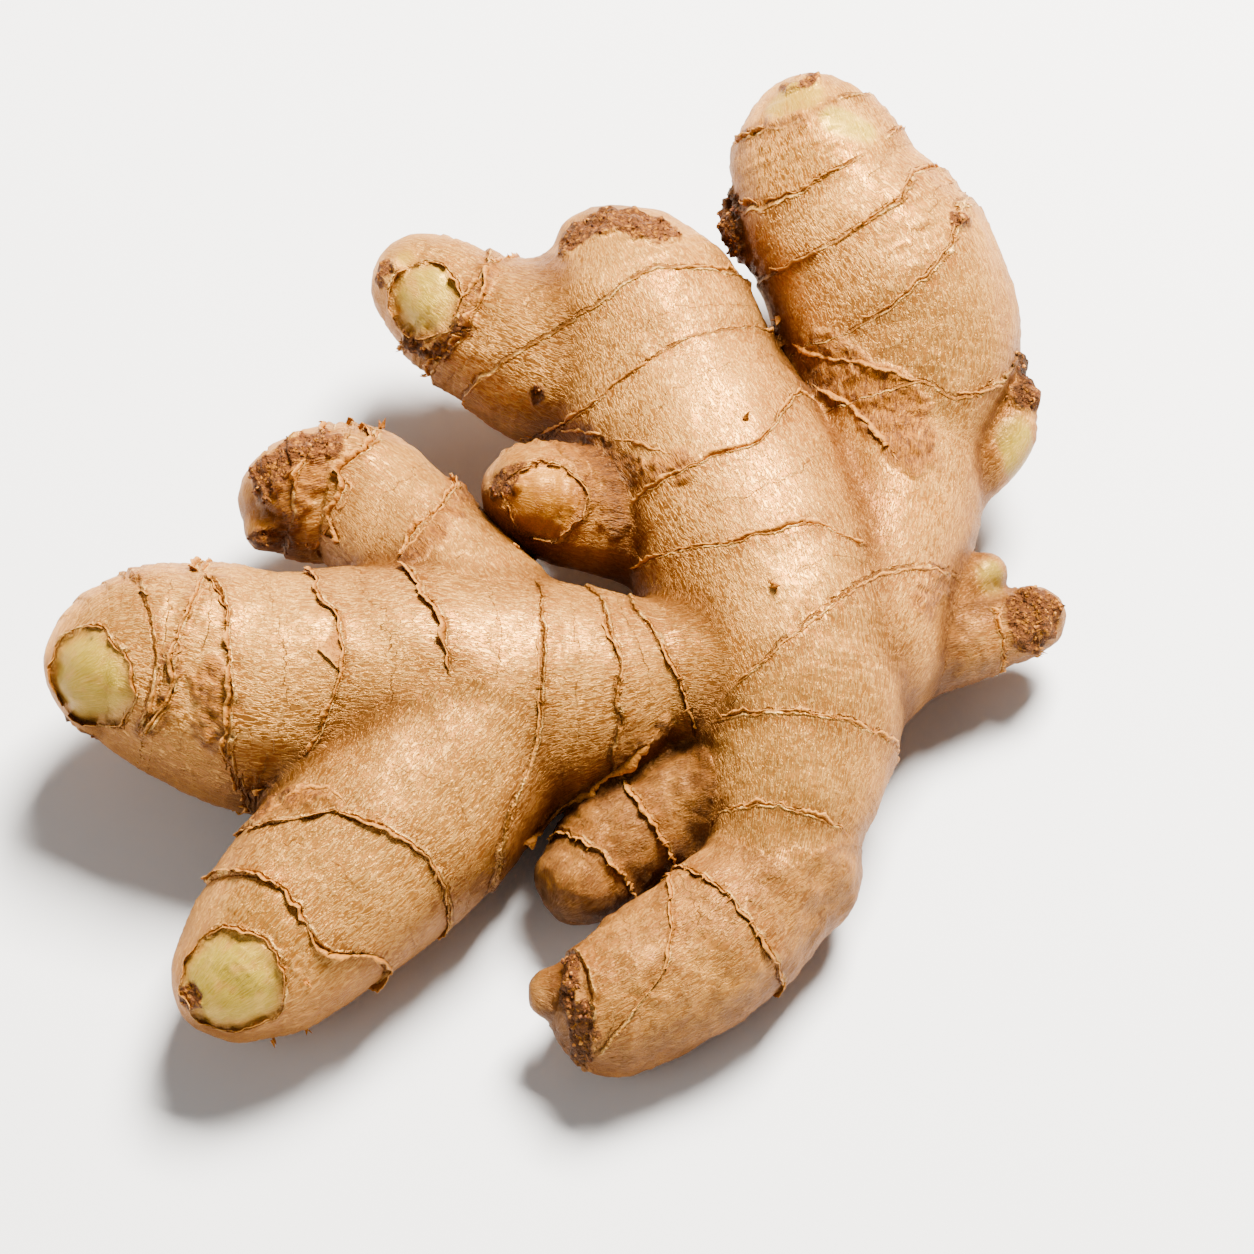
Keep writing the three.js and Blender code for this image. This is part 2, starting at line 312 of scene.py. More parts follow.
# Patches seen on the skin: the places [across, up] that a patch runs through, and its radius.
# Amber is how far a bud's green turns to amber, and a soft bud has no rim.
BUDS = {
    "left_finger": {"seen": [[-75.3, -7.5]], "radius": 7.0, "amber": 0.15},
    "near_finger": {"seen": [[-55.5, -50]], "radius": 7.4, "amber": 0.1},
    "upper_left_finger": {"seen": [[-28.6, 45.6]], "radius": 5.9, "amber": 0.2},
    "upper_left_tip": {"seen": [[-31, 51.5]], "radius": 2.2, "amber": 0.5, "soft": True},
    "middle_bud": {"seen": [[-11.6, 17.8]], "radius": 5.8, "amber": 0.9},
    "tall_finger": {"seen": [[21.5, 73.5], [25, 74.5]], "radius": 3.6, "amber": 0.45, "soft": True},
    "tall_finger_side": {"seen": [[29.5, 70.8], [33, 69.8]],
                         "radius": 3.2, "amber": 0.2, "soft": True},
    "right_bud": {"seen": [[55, 23.5], [54.6, 27]], "radius": 3.8, "amber": 0.1, "soft": True},
    "far_finger": {"seen": [[-50.8, 16]], "radius": 2.8, "amber": 0.8, "soft": True},
    "low_right_bud": {"seen": [[51, 7]], "radius": 3.4, "amber": 0.1, "soft": True},
}

# Rough brown cork, where the skin is scabbed or broken.
CORK = {
    "stem_top": {"seen": [[-8, 54.5], [-2, 57.5], [4, 56]], "radius": 3.6},
    "far_finger": {"seen": [[-50, 21], [-46, 25], [-42.5, 26]], "radius": 3.2},
    "far_finger_hole": {"seen": [[-51.8, 12]], "radius": 2.2},
    "upper_left_tip": {"seen": [[-33.5, 50]], "radius": 2.4},
    "upper_left_collar": {"seen": [[-30, 39.5], [-25.5, 39], [-22, 43.5]], "radius": 1.5},
    "middle_bud": {"seen": [[-17, 20.5]], "radius": 2.6},
    "near_finger": {"seen": [[-61, -52]], "radius": 2.2},
    "left_finger": {"seen": [[-78, -13.5], [-76, -15.5]], "radius": 1.7},
    "right_bud": {"seen": [[55.8, 36], [56.2, 32.5]], "radius": 2.4},
    "neck_bud": {"seen": [[14.5, 58.5], [15, 55]], "radius": 3.0},
    "tall_finger_shoulder": {"seen": [[46, 57]], "radius": 1.6},
    "tall_finger_top": {"seen": [[22.5, 75.4], [25.8, 76.2]], "radius": 1.5},
    "stem_mark": {"seen": [[-12.5, 32]], "radius": 1.5},
    "crease_scale": {"seen": [[-49, -24], [-45.5, -23]], "radius": 1.3},
    "nearest_finger": {"seen": [[-7.5, -47], [-6.5, -55], [-6.5, -60]], "radius": 2.2},
    "low_right_knob": {"seen": [[57, 1]], "radius": 5},
}

# Skin that is flaking off in small dry fibres.
FLAKY = {
    "stem_triangle": {"seen": [[-6, 25.5], [-2, 22], [2, 21.5], [8, 22.8]], "radius": 2.6},
    "stem_triangle_foot": {"seen": [[-1.5, 20], [-2, 14.5]], "radius": 1.8},
    "left_finger_patch": {"seen": [[-58.5, -7.5], [-57.5, -11], [-58.5, -14.5]], "radius": 2.8},
    "left_finger_band": {"seen": [[-60.5, 5], [-62, -1], [-64, -5], [-64.5, -10], [-68, -14.5]],
                         "radius": 1.4},
    "tall_finger_base": {"seen": [[27, 37], [34, 33.5], [38, 29.5], [39.5, 25]], "radius": 4.6},
    "middle_bud_rim": {"seen": [[-16, 25], [-10.6, 26], [-6.5, 22.5], [-5.3, 19], [-7, 15.5],
                                [-9.5, 12.5]], "radius": 1.3},
    "stem_side": {"seen": [[44, 7], [41, 3]], "radius": 2.4},
    "crease": {"seen": [[-51, -26], [-47, -24], [-42, -23.5]], "radius": 2.0},
    "far_finger_band": {"seen": [[-49, 13], [-47, 19], [-44, 23]], "radius": 3.2},
    "far_finger_root": {"seen": [[-31, 9.2], [-28, 11.8], [-24.6, 15.8], [-23, 20]], "radius": 1.7},
    "upper_left_collar": {"seen": [[-30, 40.5], [-24, 42.5], [-20.5, 47.5], [-19.8, 51]],
                          "radius": 1.5},
    "inner_fringe": {"seen": [[-13, -30], [-8, -25], [1, -18], [4.5, -14.5]], "radius": 1.5},
    "neck": {"seen": [[15, 52], [17, 48]], "radius": 1.8},
    "tall_finger_crown": {"seen": [[16.5, 69.5], [20, 70.5], [24, 71], [29, 73]], "radius": 1.2},
}

# Where the skin is more golden than elsewhere.
GOLDEN = {
    "tall_finger_cap": {"seen": [[20, 66], [29, 68]], "radius": 7},
    "middle_bud": {"seen": [[-12, 18], [-8, 16]], "radius": 8},
    "upper_left_cap": {"seen": [[-28, 46]], "radius": 7},
    "near_cap": {"seen": [[-51, -44], [-56, -50]], "radius": 7},
    "far_cap": {"seen": [[-47, 18]], "radius": 7},
    "right_bud": {"seen": [[54, 27]], "radius": 6},
    # The crotch and the stem's foot lie in folds between fingers, and the gold painted there is fold
    # shade.
    "crotch": {"seen": [[24, 36], [30, 30], [36, 24], [40, 16]], "radius": 5},
    "stem_triangle": {"seen": [[-5, 22], [4, 20]], "radius": 4},
    "stem_foot": {"seen": [[4, 4], [12, -3]], "radius": 5},
}

# Papery edges that stand up off the skin along a line, and lean to its left or its right.
EDGES = {
    "stem_triangle": {"seen": [[-10, 27.5], [-7, 27], [-4, 26.6], [0.5, 25.8], [5.5, 24.2],
                               [10.5, 23.2]], "size": 0.9, "lean": 1},
    "inner_fringe": {"seen": [[-14.3, -30.5], [-11, -27.5], [-8, -25], [-3, -21.2], [1, -18],
                              [4.6, -14.4]], "size": 1.6, "lean": -1},
    "far_finger_band": {"seen": [[-33.7, 26.5], [-37.5, 24.2], [-41.6, 21.7], [-38.9, 19.7],
                                 [-40, 17.5], [-42.3, 14.1], [-44.5, 10.8], [-49.8, 8.5]],
                        "size": 0.6, "lean": 1},
    "far_finger_root": {"seen": [[-32.3, 9.4], [-29, 12.7], [-25.2, 17.2], [-23.4, 21]],
                        "size": 0.6, "lean": 1},
    "left_band": {"seen": [[-59.2, 7], [-60.5, 3.5], [-62.6, 0.7], [-63.3, -5], [-65, -10.6],
                           [-69, -15.4]], "size": 0.7, "lean": 1},
    "patch_edge": {"seen": [[-56.3, -3.6], [-55.5, -8], [-56, -14.5], [-58, -16.8]],
                   "size": 0.9, "lean": 1},
    "tall_finger_base": {"seen": [[22.8, 39.6], [28.1, 38.1], [33.7, 37], [37.8, 35.8], [41.5, 34.2]],
                         "size": 0.8, "lean": -1},
    "tall_finger_fold": {"seen": [[26, 34], [31, 31.5], [35, 27.5], [38.5, 23]],
                         "size": 1.1, "lean": -1},
    "crease": {"seen": [[-51, -26.6], [-47.5, -24.6], [-44, -23], [-41.2, -23.4], [-39.4, -25.6]],
               "size": 0.8, "lean": 1},
}

# Loose papery scales: held along one line of places and free along the other.
SCALES = {
    "left_finger_flap": {"held": [[-39.6, 1.5], [-39.3, -1.7], [-39.6, -6.5]],
                         "free": [[-40.6, 0.1], [-43, -3.1], [-40.4, -6]],
                         "lift": 0.15, "ragged": 0.12},
}

# Tufts of torn husk.
TAGS = {
    "stem_tag": {"seen": [[16.8, 29.3]], "size": 1.2},
    "stem_low_tag": {"seen": [[20.7, 5.7]], "size": 1.6},
    "near_tag": {"seen": [[-49.5, -58]], "size": 1.0},
    "near_side_tag": {"seen": [[-44.7, -56.6]], "size": 0.8},
    "near_spur": {"seen": [[-44.7, -49.5]], "size": 1.1},
    "far_top_tag": {"seen": [[-34, 29]], "size": 1.3},
    "crotch_tag": {"seen": [[21, 43]], "size": 1.8},
}


def place(across, up, height):
    """The point at a height that is seen at (across, up)."""
    seen = AIM + across * PICTURE_ACROSS + up * PICTURE_UP
    ray = seen - EYE
    return EYE + ray * ((height - EYE[2]) / ray[2]) - MIDDLE


def smooth(low, high, value):
    share = np.clip((value - low) / (high - low), 0, 1)
    return share * share * (3 - 2 * share)


def unit(vectors):
    return vectors / np.maximum(np.linalg.norm(vectors, axis=-1, keepdims=True), 1e-9)


def noise(points, size, seed=0):
    """Smooth noise from -1 to 1 whose lumps are about size millimetres across."""
    grid = points / size + 31.7 * seed
    cell = np.floor(grid)
    part = grid - cell
    part = part * part * (3 - 2 * part)
    cell = cell.astype(np.int64)
    total = np.zeros(len(points))
    for corner in itertools.product((0, 1), repeat=3):
        weight = np.prod(np.where(np.array(corner) == 1, part, 1 - part), axis=1)
        x, y, z = (cell + corner).T
        mixed = (x * 374761393 + y * 668265263 + z * 2147483647 + seed * 1274126177) & 0xFFFFFFFF
        mixed = ((mixed ^ (mixed >> 13)) * 1274126177) & 0xFFFFFFFF
        total += weight * ((mixed ^ (mixed >> 16)) & 0xFFFF) / 0x8000
    return total - 1


def catmull_rom(knots, places):
    """The uniform Catmull-Rom curve through the knots, at places counted in knots."""
    padded = np.vstack([2 * knots[0] - knots[1], knots, 2 * knots[-1] - knots[-2]])
    whole = np.clip(np.floor(places).astype(int), 0, len(knots) - 2)
    t = (places - whole)[:, None]
    before, start, end, after = (padded[whole + i] for i in range(4))
    leave = 0.5 * (end - before)
    arrive = 0.5 * (after - start)
    return (
        (2 * start - 2 * end + leave + arrive) * t**3
        + (-3 * start + 3 * end - 2 * leave - arrive) * t**2
        + leave * t
        + start
    )


def lengths(points):
    return np.concatenate([[0], np.cumsum(np.linalg.norm(np.diff(points, axis=0), axis=1))])


def resample(points, count):
    """The same path in evenly spaced points."""
    along = lengths(points)
    even = np.linspace(0, along[-1], count)
    return np.stack([np.interp(even, along, points[:, i]) for i in range(3)], axis=1)


class Finger:
    """A finger's centre line and radius, sampled finely from its root to its tip."""

    def __init__(self, stations):
        knots = np.array([(*place(*where), radius) for *where, radius in stations])
        last = len(knots) - 1
        fine = np.linspace(0, last, 40 * last + 1)
        curve = catmull_rom(knots, fine)
        length = lengths(curve[:, :3])
        tip = length[-1] - (1 - TIP_BLUNTNESS) * knots[-1, 3]
        self.arc = np.linspace(0, tip, max(4, int(tip / AXIS_STEP)))
        self.station = np.interp(self.arc, length, fine)
        sampled = np.stack([np.interp(self.arc, length, curve[:, i]) for i in range(4)], axis=1)
        self.centre = sampled[:, :3]
        self.radius = sampled[:, 3]
        self.along = unit(np.gradient(self.centre, axis=0))
        self.left = unit(np.cross(TO_EYE, self.along))
        self.facing = np.cross(self.along, self.left)

    def measure(self, points):
        """Each point's height over the skin, arc length, angle, and way out from the centre line."""
        count = len(points)
        height = np.full(count, OUT_OF_REACH)
        arc = np.zeros(count)
        angle = np.zeros(count)
        out = np.tile((0.0, 0.0, 1.0), (count, 1))
        margin = self.radius.max() + NEAR
        low = self.centre.min(0) - margin
        high = self.centre.max(0) + margin
        near = np.all((points > low) & (points < high), axis=1)
        for chunk in np.array_split(np.flatnonzero(near), max(1, int(near.sum()) // 30000)):
            p = points[chunk]
            squared = (p**2).sum(1)[:, None] - 2 * p @ self.centre.T + (self.centre**2).sum(1)
            reach = np.sqrt(np.maximum(squared, 0)) - self.radius
            nearest = reach.argmin(axis=1)
            step = self.arc[1]
            beyond = ((p - self.centre[nearest]) * self.along[nearest]).sum(1)
            at = np.clip(self.arc[nearest] + np.clip(beyond, -step, step), 0, self.arc[-1])
            spoke = p - self.interpolate(self.centre, at)
            span = np.linalg.norm(spoke, axis=1)
            height[chunk] = span - np.interp(at, self.arc, self.radius)
            arc[chunk] = at + np.clip(beyond - (at - self.arc[nearest]), -NEAR, NEAR)
            angle[chunk] = np.arctan2((spoke * self.interpolate(self.facing, at)).sum(1),
                                      (spoke * self.interpolate(self.left, at)).sum(1))
            out[chunk] = spoke / np.maximum(span, 1e-6)[:, None]
        return height, arc, angle, out

    def spoke(self, angle, arc):
        """The way out from the centre line at each angle and arc length."""
        return (np.cos(angle)[:, None] * self.interpolate(self.left, arc)
                + np.sin(angle)[:, None] * self.interpolate(self.facing, arc))

    def interpolate(self, rows, at):
        return np.stack([np.interp(at, self.arc, rows[:, i]) for i in range(3)], axis=1)

    def arc_of(self, station):
        return float(np.interp(station, self.station, self.arc))


def grown_form(points):
    """Height over the root's form, and the way out of it, where the fingers flow into each other."""
    height = None
    for name in NAMES:
        own, _, _, out = fingers[name].measure(points)
        if height is None:
            height, way = own, out
            continue
        soft = FINGERS[name]["blend"]
        share = np.clip(0.5 + 0.5 * (height - own) / soft, 0, 1)
        height = height * (1 - share) + own * share - soft * share * (1 - share)
        way = way * (1 - share)[:, None] + out * share[:, None]
    return height, unit(way)


def way_out(points):
    """The way out of the root's form at each point."""
    return grown_form(points)[1]


def draw_onto_form(points, rounds=3):
    for _ in range(rounds):
        height, way = grown_form(points)
        points = points - way * height[:, None]
    points[:, 2] = np.maximum(points[:, 2], 0)
    return points


def cast(seen):
    """The points of the form that are seen at these [across, up] places."""
    seen = np.array(seen, float)
    target = AIM + seen[:, :1] * PICTURE_ACROSS + seen[:, 1:] * PICTURE_UP
    ray = unit(target - EYE)
    start = EYE - MIDDLE
    travelled = np.full(len(seen), VIEW_DISTANCE - 60.0)
    closest = np.full(len(seen), OUT_OF_REACH)
    best = travelled.copy()
    for _ in range(60):
        height, _ = grown_form(start + ray * travelled[:, None])
        better = height < closest
        closest = np.where(better, height, closest)
        best = np.where(better, travelled, best)
        travelled = travelled + np.where(height > TOUCH, np.minimum(0.8 * height, LONGEST_STEP), 0)
    return draw_onto_form(start + ray * best[:, None], rounds=2)


def every_place():
    """Each [across, up] place that the tables name."""
    for finger in FINGERS.values():
        for scar in finger.get("scars", []):
            yield from scar.get("seen", [])
    for table in (BUDS, CORK, FLAKY, GOLDEN, EDGES, TAGS):
        for facts in table.values():
            yield from facts["seen"]
    for facts in SCALES.values():
        yield from facts["held"]
        yield from facts["free"]


def on_skin(seen):
    return np.array([ON_SKIN[tuple(where)] for where in seen])


def rounded(ring):
    """The same closed run of values with its corners rounded off."""
    reach = int(CORNER_TURN / (2 * math.pi) * len(ring))
    window = np.hanning(2 * reach + 1)
    padded = np.concatenate([ring[-reach - 1:-1], ring, ring[1:reach + 1]])
    return np.convolve(padded, window / window.sum(), "valid")


class Scar:
    """One leaf scar: the arc length at which it crosses each angle round its finger."""

    def __init__(self, owner, facts, seed):
        self.owner = owner
        self.on = [owner, *facts.get("on", [])]
        self.lift = facts.get("lift", 1.0)
        finger = fingers[owner]
        self.turn = np.linspace(-math.pi, math.pi, TURN_STEPS)
        circle = np.stack([np.cos(self.turn), np.sin(self.turn), np.zeros(TURN_STEPS)], axis=1)
        circle = WAVER_RADIUS * circle + (0, 0, 9.0 * seed)
        self.path = 0.3 * noise(circle, 1.3, seed) + 0.3 * noise(circle, 3.4, seed + 50)
        self.path += 0.16 * noise(circle, 0.6, seed + 80)
        if "at" in facts:
            self.path += finger.arc_of(facts["at"])
            return
        _, arc, angle, _ = finger.measure(on_skin(facts["seen"]))
        basis = np.stack([np.ones_like(angle), np.cos(angle), np.sin(angle)], axis=1)
        damping = np.diag([1e-6, 0.05, 0.6])
        fit = np.linalg.solve(basis.T @ basis + damping, basis.T @ arc)
        rest = arc - basis @ fit
        if 2 * math.pi - np.ptp(angle) > 1.4:
            angle = np.concatenate([[angle.min() - 0.6, angle.max() + 0.6], angle])
            rest = np.concatenate([[0, 0], rest])
        self.path += fit[0] + fit[1] * np.cos(self.turn) + fit[2] * np.sin(self.turn)
        self.path += rounded(np.interp(self.turn, angle, rest, period=2 * math.pi))

    def crossing(self, angle):
        return np.interp(angle, self.turn, self.path)


def patch_depth(points, facts, edge):
    """How deep each point lies inside a patch, which runs along a line of places."""
    line = on_skin(facts["seen"])
    away = np.linalg.norm(points - line[0], axis=1)
    for start, end in zip(line[:-1], line[1:]):
        way = end - start
        share = np.clip((points - start) @ way / (way @ way), 0, 1)
        away = np.minimum(away, np.linalg.norm(points - start - share[:, None] * way, axis=1))
    return facts["radius"] - away + edge


def bud_raggedness(points):
    return 0.75 * noise(points, 2.8, 21) + 0.35 * noise(points, 1.0, 22)


def bud_depth(points, facts, ragged):
    """How deep each point lies inside a bud, whose edge is the more ragged the larger it is."""
    return patch_depth(points, facts, ragged * min(1.0, facts["radius"] / RAGGED_RADIUS))


def patches(points, table, ragged):
    """How strongly each point belongs to the table's patches, from 0 to 1."""
    edge = ragged * noise(points, 2.2, 11) + 0.5 * ragged * noise(points, 0.9, 12)
    mask = np.zeros(len(points))
    for facts in table.values():
        mask = np.maximum(mask, smooth(-0.5, 0.9, patch_depth(points, facts, edge)))
    return mask


def nearest_scar(points, heights, arcs, angles):
    """How far past its nearest scar each point lies, and how strongly that scar shows there."""
    offset = np.full(len(points), FAR)
    second = np.full(len(points), FAR)
    lift = np.zeros(len(points))
    for scar in scars:
        index = NAMES.index(scar.owner)
        away = arcs[index] - scar.crossing(angles[index])
        others = [i for i, name in enumerate(NAMES) if name not in scar.on]
        theirs = np.min(heights[[NAMES.index(name) for name in scar.on]], axis=0)
        clear = smooth(0.1, 1.6, heights[others].min(axis=0) - theirs)
        away = np.where(clear > 0.02, away, FAR)
        closer = np.abs(away) < np.abs(offset)
        second = np.where(closer, np.abs(offset), np.minimum(second, np.abs(away)))
        offset = np.where(closer, away, offset)
        lift = np.where(closer, clear * scar.lift, lift)
    return offset, lift * smooth(0.1, 0.9, second - np.abs(offset))


def nearest_bud(points):
    """How deep each point lies inside its nearest bud, how amber that is, and whether it has a rim."""
    bud_edge = np.full(len(points), -FAR)
    amber = np.zeros(len(points))
    rimmed = np.zeros(len(points))
    ragged = bud_raggedness(points)
    for facts in BUDS.values():
        soft = facts.get("soft", False)
        depth = bud_depth(points, facts, ragged) * (SOFTNESS if soft else 1)
        inside = depth > bud_edge
        amber = np.where(inside, facts["amber"], amber)
        rimmed = np.where(inside, 0.0 if soft else 1.0, rimmed)
        bud_edge = np.maximum(bud_edge, depth)
    return bud_edge, amber, rimmed


def measure_skin(points):
    """Everything about each point of the skin that relief and colour need."""
    measured = [fingers[name].measure(points) for name in NAMES]
    heights = np.stack([m[0] for m in measured])
    arcs = np.stack([m[1] for m in measured])
    angles = np.stack([m[2] for m in measured])
    order = np.sort(heights, axis=0)
    owner, neighbour = heights.argsort(axis=0)[:2]
    shared = order[1] - order[0]
    crease = np.exp(-((shared / 2.2) ** 2)) * smooth(3.5, 0.6, np.abs(order[0]))
    own_way = np.zeros((len(points), 3))
    next_way = np.zeros((len(points), 3))
    for index, (_, _, _, way) in enumerate(measured):
        own_way[owner == index] = way[owner == index]
        next_way[neighbour == index] = way[neighbour == index]
    # Painted shade: where two fingers part at a fold, the skin near it is darkened, fading out over
    # FOLD_REACH.
    parting = smooth(0.93, 0.5, (own_way * next_way).sum(1))
    painted_fold_shade = parting * np.exp(-np.maximum(order[1], 0) / FOLD_REACH)
    # Painted shade: the skin is darkened where it faces sideways or down, away from the light above.
    painted_side_shade = smooth(0.75, 0.0, own_way[:, 2])
    offset, lift = nearest_scar(points, heights, arcs, angles)
    bud_edge, amber, rimmed = nearest_bud(points)
    return {
        "owner": owner,
        "arcs": arcs,
        "angles": angles,
        "offset": np.clip(offset, -READ_REACH, READ_REACH),
        "lift": lift * smooth(-0.2, -1.2, bud_edge),
        "bud_edge": np.clip(bud_edge, -READ_REACH, READ_REACH),
        "amber": amber,
        "rimmed": rimmed,
        "cork": patches(points, CORK, 1.1),
        "flaky": patches(points, FLAKY, 1.3),
        "golden": patches(points, GOLDEN, 3.0),
        "crease": crease,
        "painted_fold_shade": painted_fold_shade,
        "painted_side_shade": painted_side_shade,
        "age": np.array([FINGERS[name]["age"] for name in NAMES])[owner],
    }


def relief(points, skin):
    """How far the skin stands out from the form, in millimetres."""
    offset = skin["offset"]
    strength = skin["lift"] * (0.75 + 0.45 * noise(points, 2.6, 31))
    rise = SCAR_RISE * np.exp(-np.abs(np.minimum(offset, 0)) / 1.9)
    drop = -SCAR_DROP * np.exp(-np.maximum(offset, 0) / 2.6)
    step = strength * (rise + (drop - rise) * smooth(-0.12, 0.22, offset))
    depth = skin["bud_edge"]
    collar = COLLAR_RISE * np.exp(-np.abs(np.minimum(depth, 0)) / 1.2)
    inset = -BUD_INSET * np.exp(-np.maximum(depth, 0) / 2.5)
    bud = smooth(-0.1, 0.5, depth)
    rim = (collar * (1 - bud) + inset * bud) * (0.7 + 0.6 * noise(points, 1.9, 32)) * skin["rimmed"]
    dome = BUD_DOME * smooth(0.3, 5, depth) * skin["rimmed"]
    swell = 0.5 * noise(points, 11, 1) + 0.3 * noise(points, 5.5, 2)
    wrinkle = 0.1 * noise(points, 1.6, 3) + 0.05 * noise(points, 0.8, 4)
    cork = skin["cork"] * (0.45 + 0.7 * noise(points, 1.8, 5) + 0.5 * noise(points, 0.8, 6))
    flaky = skin["flaky"] * (0.2 + 0.4 * noise(points, 1.3, 9) + 0.28 * noise(points, 0.7, 10))
    old = skin["age"] * (0.35 * noise(points, 3.2, 7) + 0.26 * noise(points, 1.4, 8))
    fine = (1 - 0.9 * bud) * (wrinkle + old)
    return step + rim + dome + swell + fine + cork + flaky - CREASE_DEPTH * skin["crease"]


def put_in_scene(name, data):
    """A new object that shows this mesh, light or lens."""
    thing = bpy.data.objects.new(name, data)
    bpy.context.scene.collection.objects.link(thing)
    return thing


def new_object(name, vertices, faces=(), edges=()):
    mesh = bpy.data.meshes.new(name)
    corners = (np.asarray(vertices) * MM).tolist()
    mesh.from_pydata(corners, [tuple(edge) for edge in edges], [tuple(face) for face in faces])
    return put_in_scene(name, mesh)


def coordinates(mesh):
    flat = np.empty(len(mesh.vertices) * 3)
    mesh.vertices.foreach_get("co", flat)
    return flat.reshape(-1, 3) / MM


def set_coordinates(mesh, points):
    mesh.vertices.foreach_set("co", (points * MM).ravel())
    mesh.update()


def apply_modifiers(thing):
    """Bakes the live modifiers into the object's own mesh."""
    graph = bpy.context.evaluated_depsgraph_get()
    baked = bpy.data.meshes.new_from_object(thing.evaluated_get(graph))
    thing.modifiers.clear()
    thing.data = baked


def store(mesh, name, values, kind="FLOAT"):
    attribute = mesh.attributes.new(name, kind, "POINT")
    key = "vector" if kind == "FLOAT_VECTOR" else "value"
    attribute.data.foreach_set(key, np.asarray(values, np.float32).ravel())


def make_skin():
    """The root's skin: one closed mesh with its relief, and what its material reads."""
    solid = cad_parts["ginger_root"]
    thing = put_in_scene("ginger_skin", solid.data.copy())
    weld = thing.modifiers.new("weld", "WELD")
    weld.merge_threshold = WELD_GAP * MM
    remesh = thing.modifiers.new("remesh", "REMESH")
    remesh.mode = "VOXEL"
    remesh.voxel_size = SKIN_VOXEL * MM
    apply_modifiers(thing)
    points = draw_onto_form(coordinates(thing.data))
    way = way_out(points)
    skin = measure_skin(points)
    points = points + way * relief(points, skin)[:, None]
    points[:, 2] = np.maximum(points[:, 2], 0)
    set_coordinates(thing.data, points)
    thin = thing.modifiers.new("thin", "DECIMATE")
    thin.ratio = min(1.0, SKIN_FACES / (2 * len(thing.data.polygons)))
    apply_modifiers(thing)
    mesh = thing.data
    mesh.shade_smooth()
    skin = measure_skin(coordinates(mesh))
    for name in ATTRIBUTES:
        store(mesh, name, skin[name])
    grain_map(mesh, skin)
    return thing


def grain_map(mesh, skin):
    """A UV map in metres: along the finger, and round it."""
    corner_vertex = np.empty(len(mesh.loops), np.int32)
    mesh.loops.foreach_get("vertex_index", corner_vertex)
    starts = np.empty(len(mesh.polygons), np.int32)
    totals = np.empty(len(mesh.polygons), np.int32)
    mesh.polygons.foreach_get("loop_start", starts)
    mesh.polygons.foreach_get("loop_total", totals)
    face = np.repeat(np.arange(len(starts)), totals)
    first = corner_vertex[starts][face]
    owner = skin["owner"][first]
    along = skin["arcs"][owner, corner_vertex]
    turned = skin["angles"][owner, corner_vertex]
    reference = skin["angles"][owner, first]
    turned = reference + (turned - reference + math.pi) % (2 * math.pi) - math.pi
    girth = np.array([fingers[name].radius.max() for name in NAMES])[owner]
    layer = mesh.uv_layers.new(name="grain")
    uv = np.stack([(along + GRAIN_SHIFT * owner) * MM, turned * girth * MM], axis=1)
    layer.data.foreach_set("uv", uv.ravel())


class Socket:
    """A node's output socket, on which sums make Math nodes."""

    def __init__(self, maker, socket):
        self.maker = maker
        self.socket = socket

    def other(self, name):
        """Another output of the same node."""
        return Socket(self.maker, self.socket.node.outputs[name])

    def _math(self, operation, *values):
        return self.maker.node("ShaderNodeMath", {"operation": operation}, values)

    def __add__(self, other):
        return self._math("ADD", self, other)

    __radd__ = __add__

    def __sub__(self, other):
        return self._math("SUBTRACT", self, other)

    def __rsub__(self, other):
        return self._math("SUBTRACT", other, self)

    def __mul__(self, other):
        return self._math("MULTIPLY", self, other)

    __rmul__ = __mul__

    def clamp(self):
        return self._math("MINIMUM", self._math("MAXIMUM", self, 0.0), 1.0)

    def larger(self, other):
        return self._math("MAXIMUM", self, other)

    def step(self, low, high):
        """0 at low and 1 at high, which may be the lower of the two, with a soft slope between."""
        settings = {"interpolation_type": "SMOOTHSTEP"}
        ends = (low, high, 0.0, 1.0) if low < high else (high, low, 1.0, 0.0)
        return self.maker.node("ShaderNodeMapRange", settings, (self, *ends))

    def hump(self, centre, width):
        """1 at the centre, falling to 0 a width away on both sides."""
        return self._math("ABSOLUTE", self - centre).step(width, 0.0)


class Nodes:
    """A node tree made from Python expressions."""

    def node(self, kind, settings=None, values=(), output=0):
        made = self.tree.nodes.new(kind)
        for key, value in (settings or {}).items():
            setattr(made, key, value)
        pairs = values.items() if isinstance(values, dict) else enumerate(values)
        for key, value in pairs:
            self.join(made.inputs[key], value)
        return Socket(self, made.outputs[output])

    def join(self, socket, value):
        if isinstance(value, Socket):
            self.tree.links.new(value.socket, socket)
        else:
            socket.default_value = value


class Material(Nodes):
    def __init__(self, name):
        self.material = bpy.data.materials.new(name)
        self.material.use_nodes = True
        self.tree = self.material.node_tree
        self.shader = self.tree.nodes["Principled BSDF"]
        self.place = self.node("ShaderNodeTexCoord", output="Object")

    def attribute(self, name):
        return self.node("ShaderNodeAttribute", {"attribute_name": name}, output="Fac")

    def mix(self, share, first, second, blend="MIX"):
        settings = {"data_type": "RGBA", "blend_type": blend}
        return self.node("ShaderNodeMix", settings, {0: share, 6: first, 7: second}, output=2)

    def stretch(self, vector, factors):
        return self.node("ShaderNodeVectorMath", {"operation": "MULTIPLY"}, (vector, factors))

    def noise(self, vector, scale, detail=2.0, roughness=0.5, distortion=0.0):
        values = {"Vector": vector, "Scale": scale, "Detail": detail, "Roughness": roughness,
                  "Distortion": distortion}
        return self.node("ShaderNodeTexNoise", {}, values)

    def bump(self, height, distance):
        values = {"Strength": 1.0, "Distance": distance, "Height": height}
        return self.node("ShaderNodeBump", {}, values)

    def set(self, **values):
        for key, value in values.items():
            self.join(self.shader.inputs[key.replace("_", " ")], value)


def colour(red, green, blue):
    return (red, green, blue, 1.0)


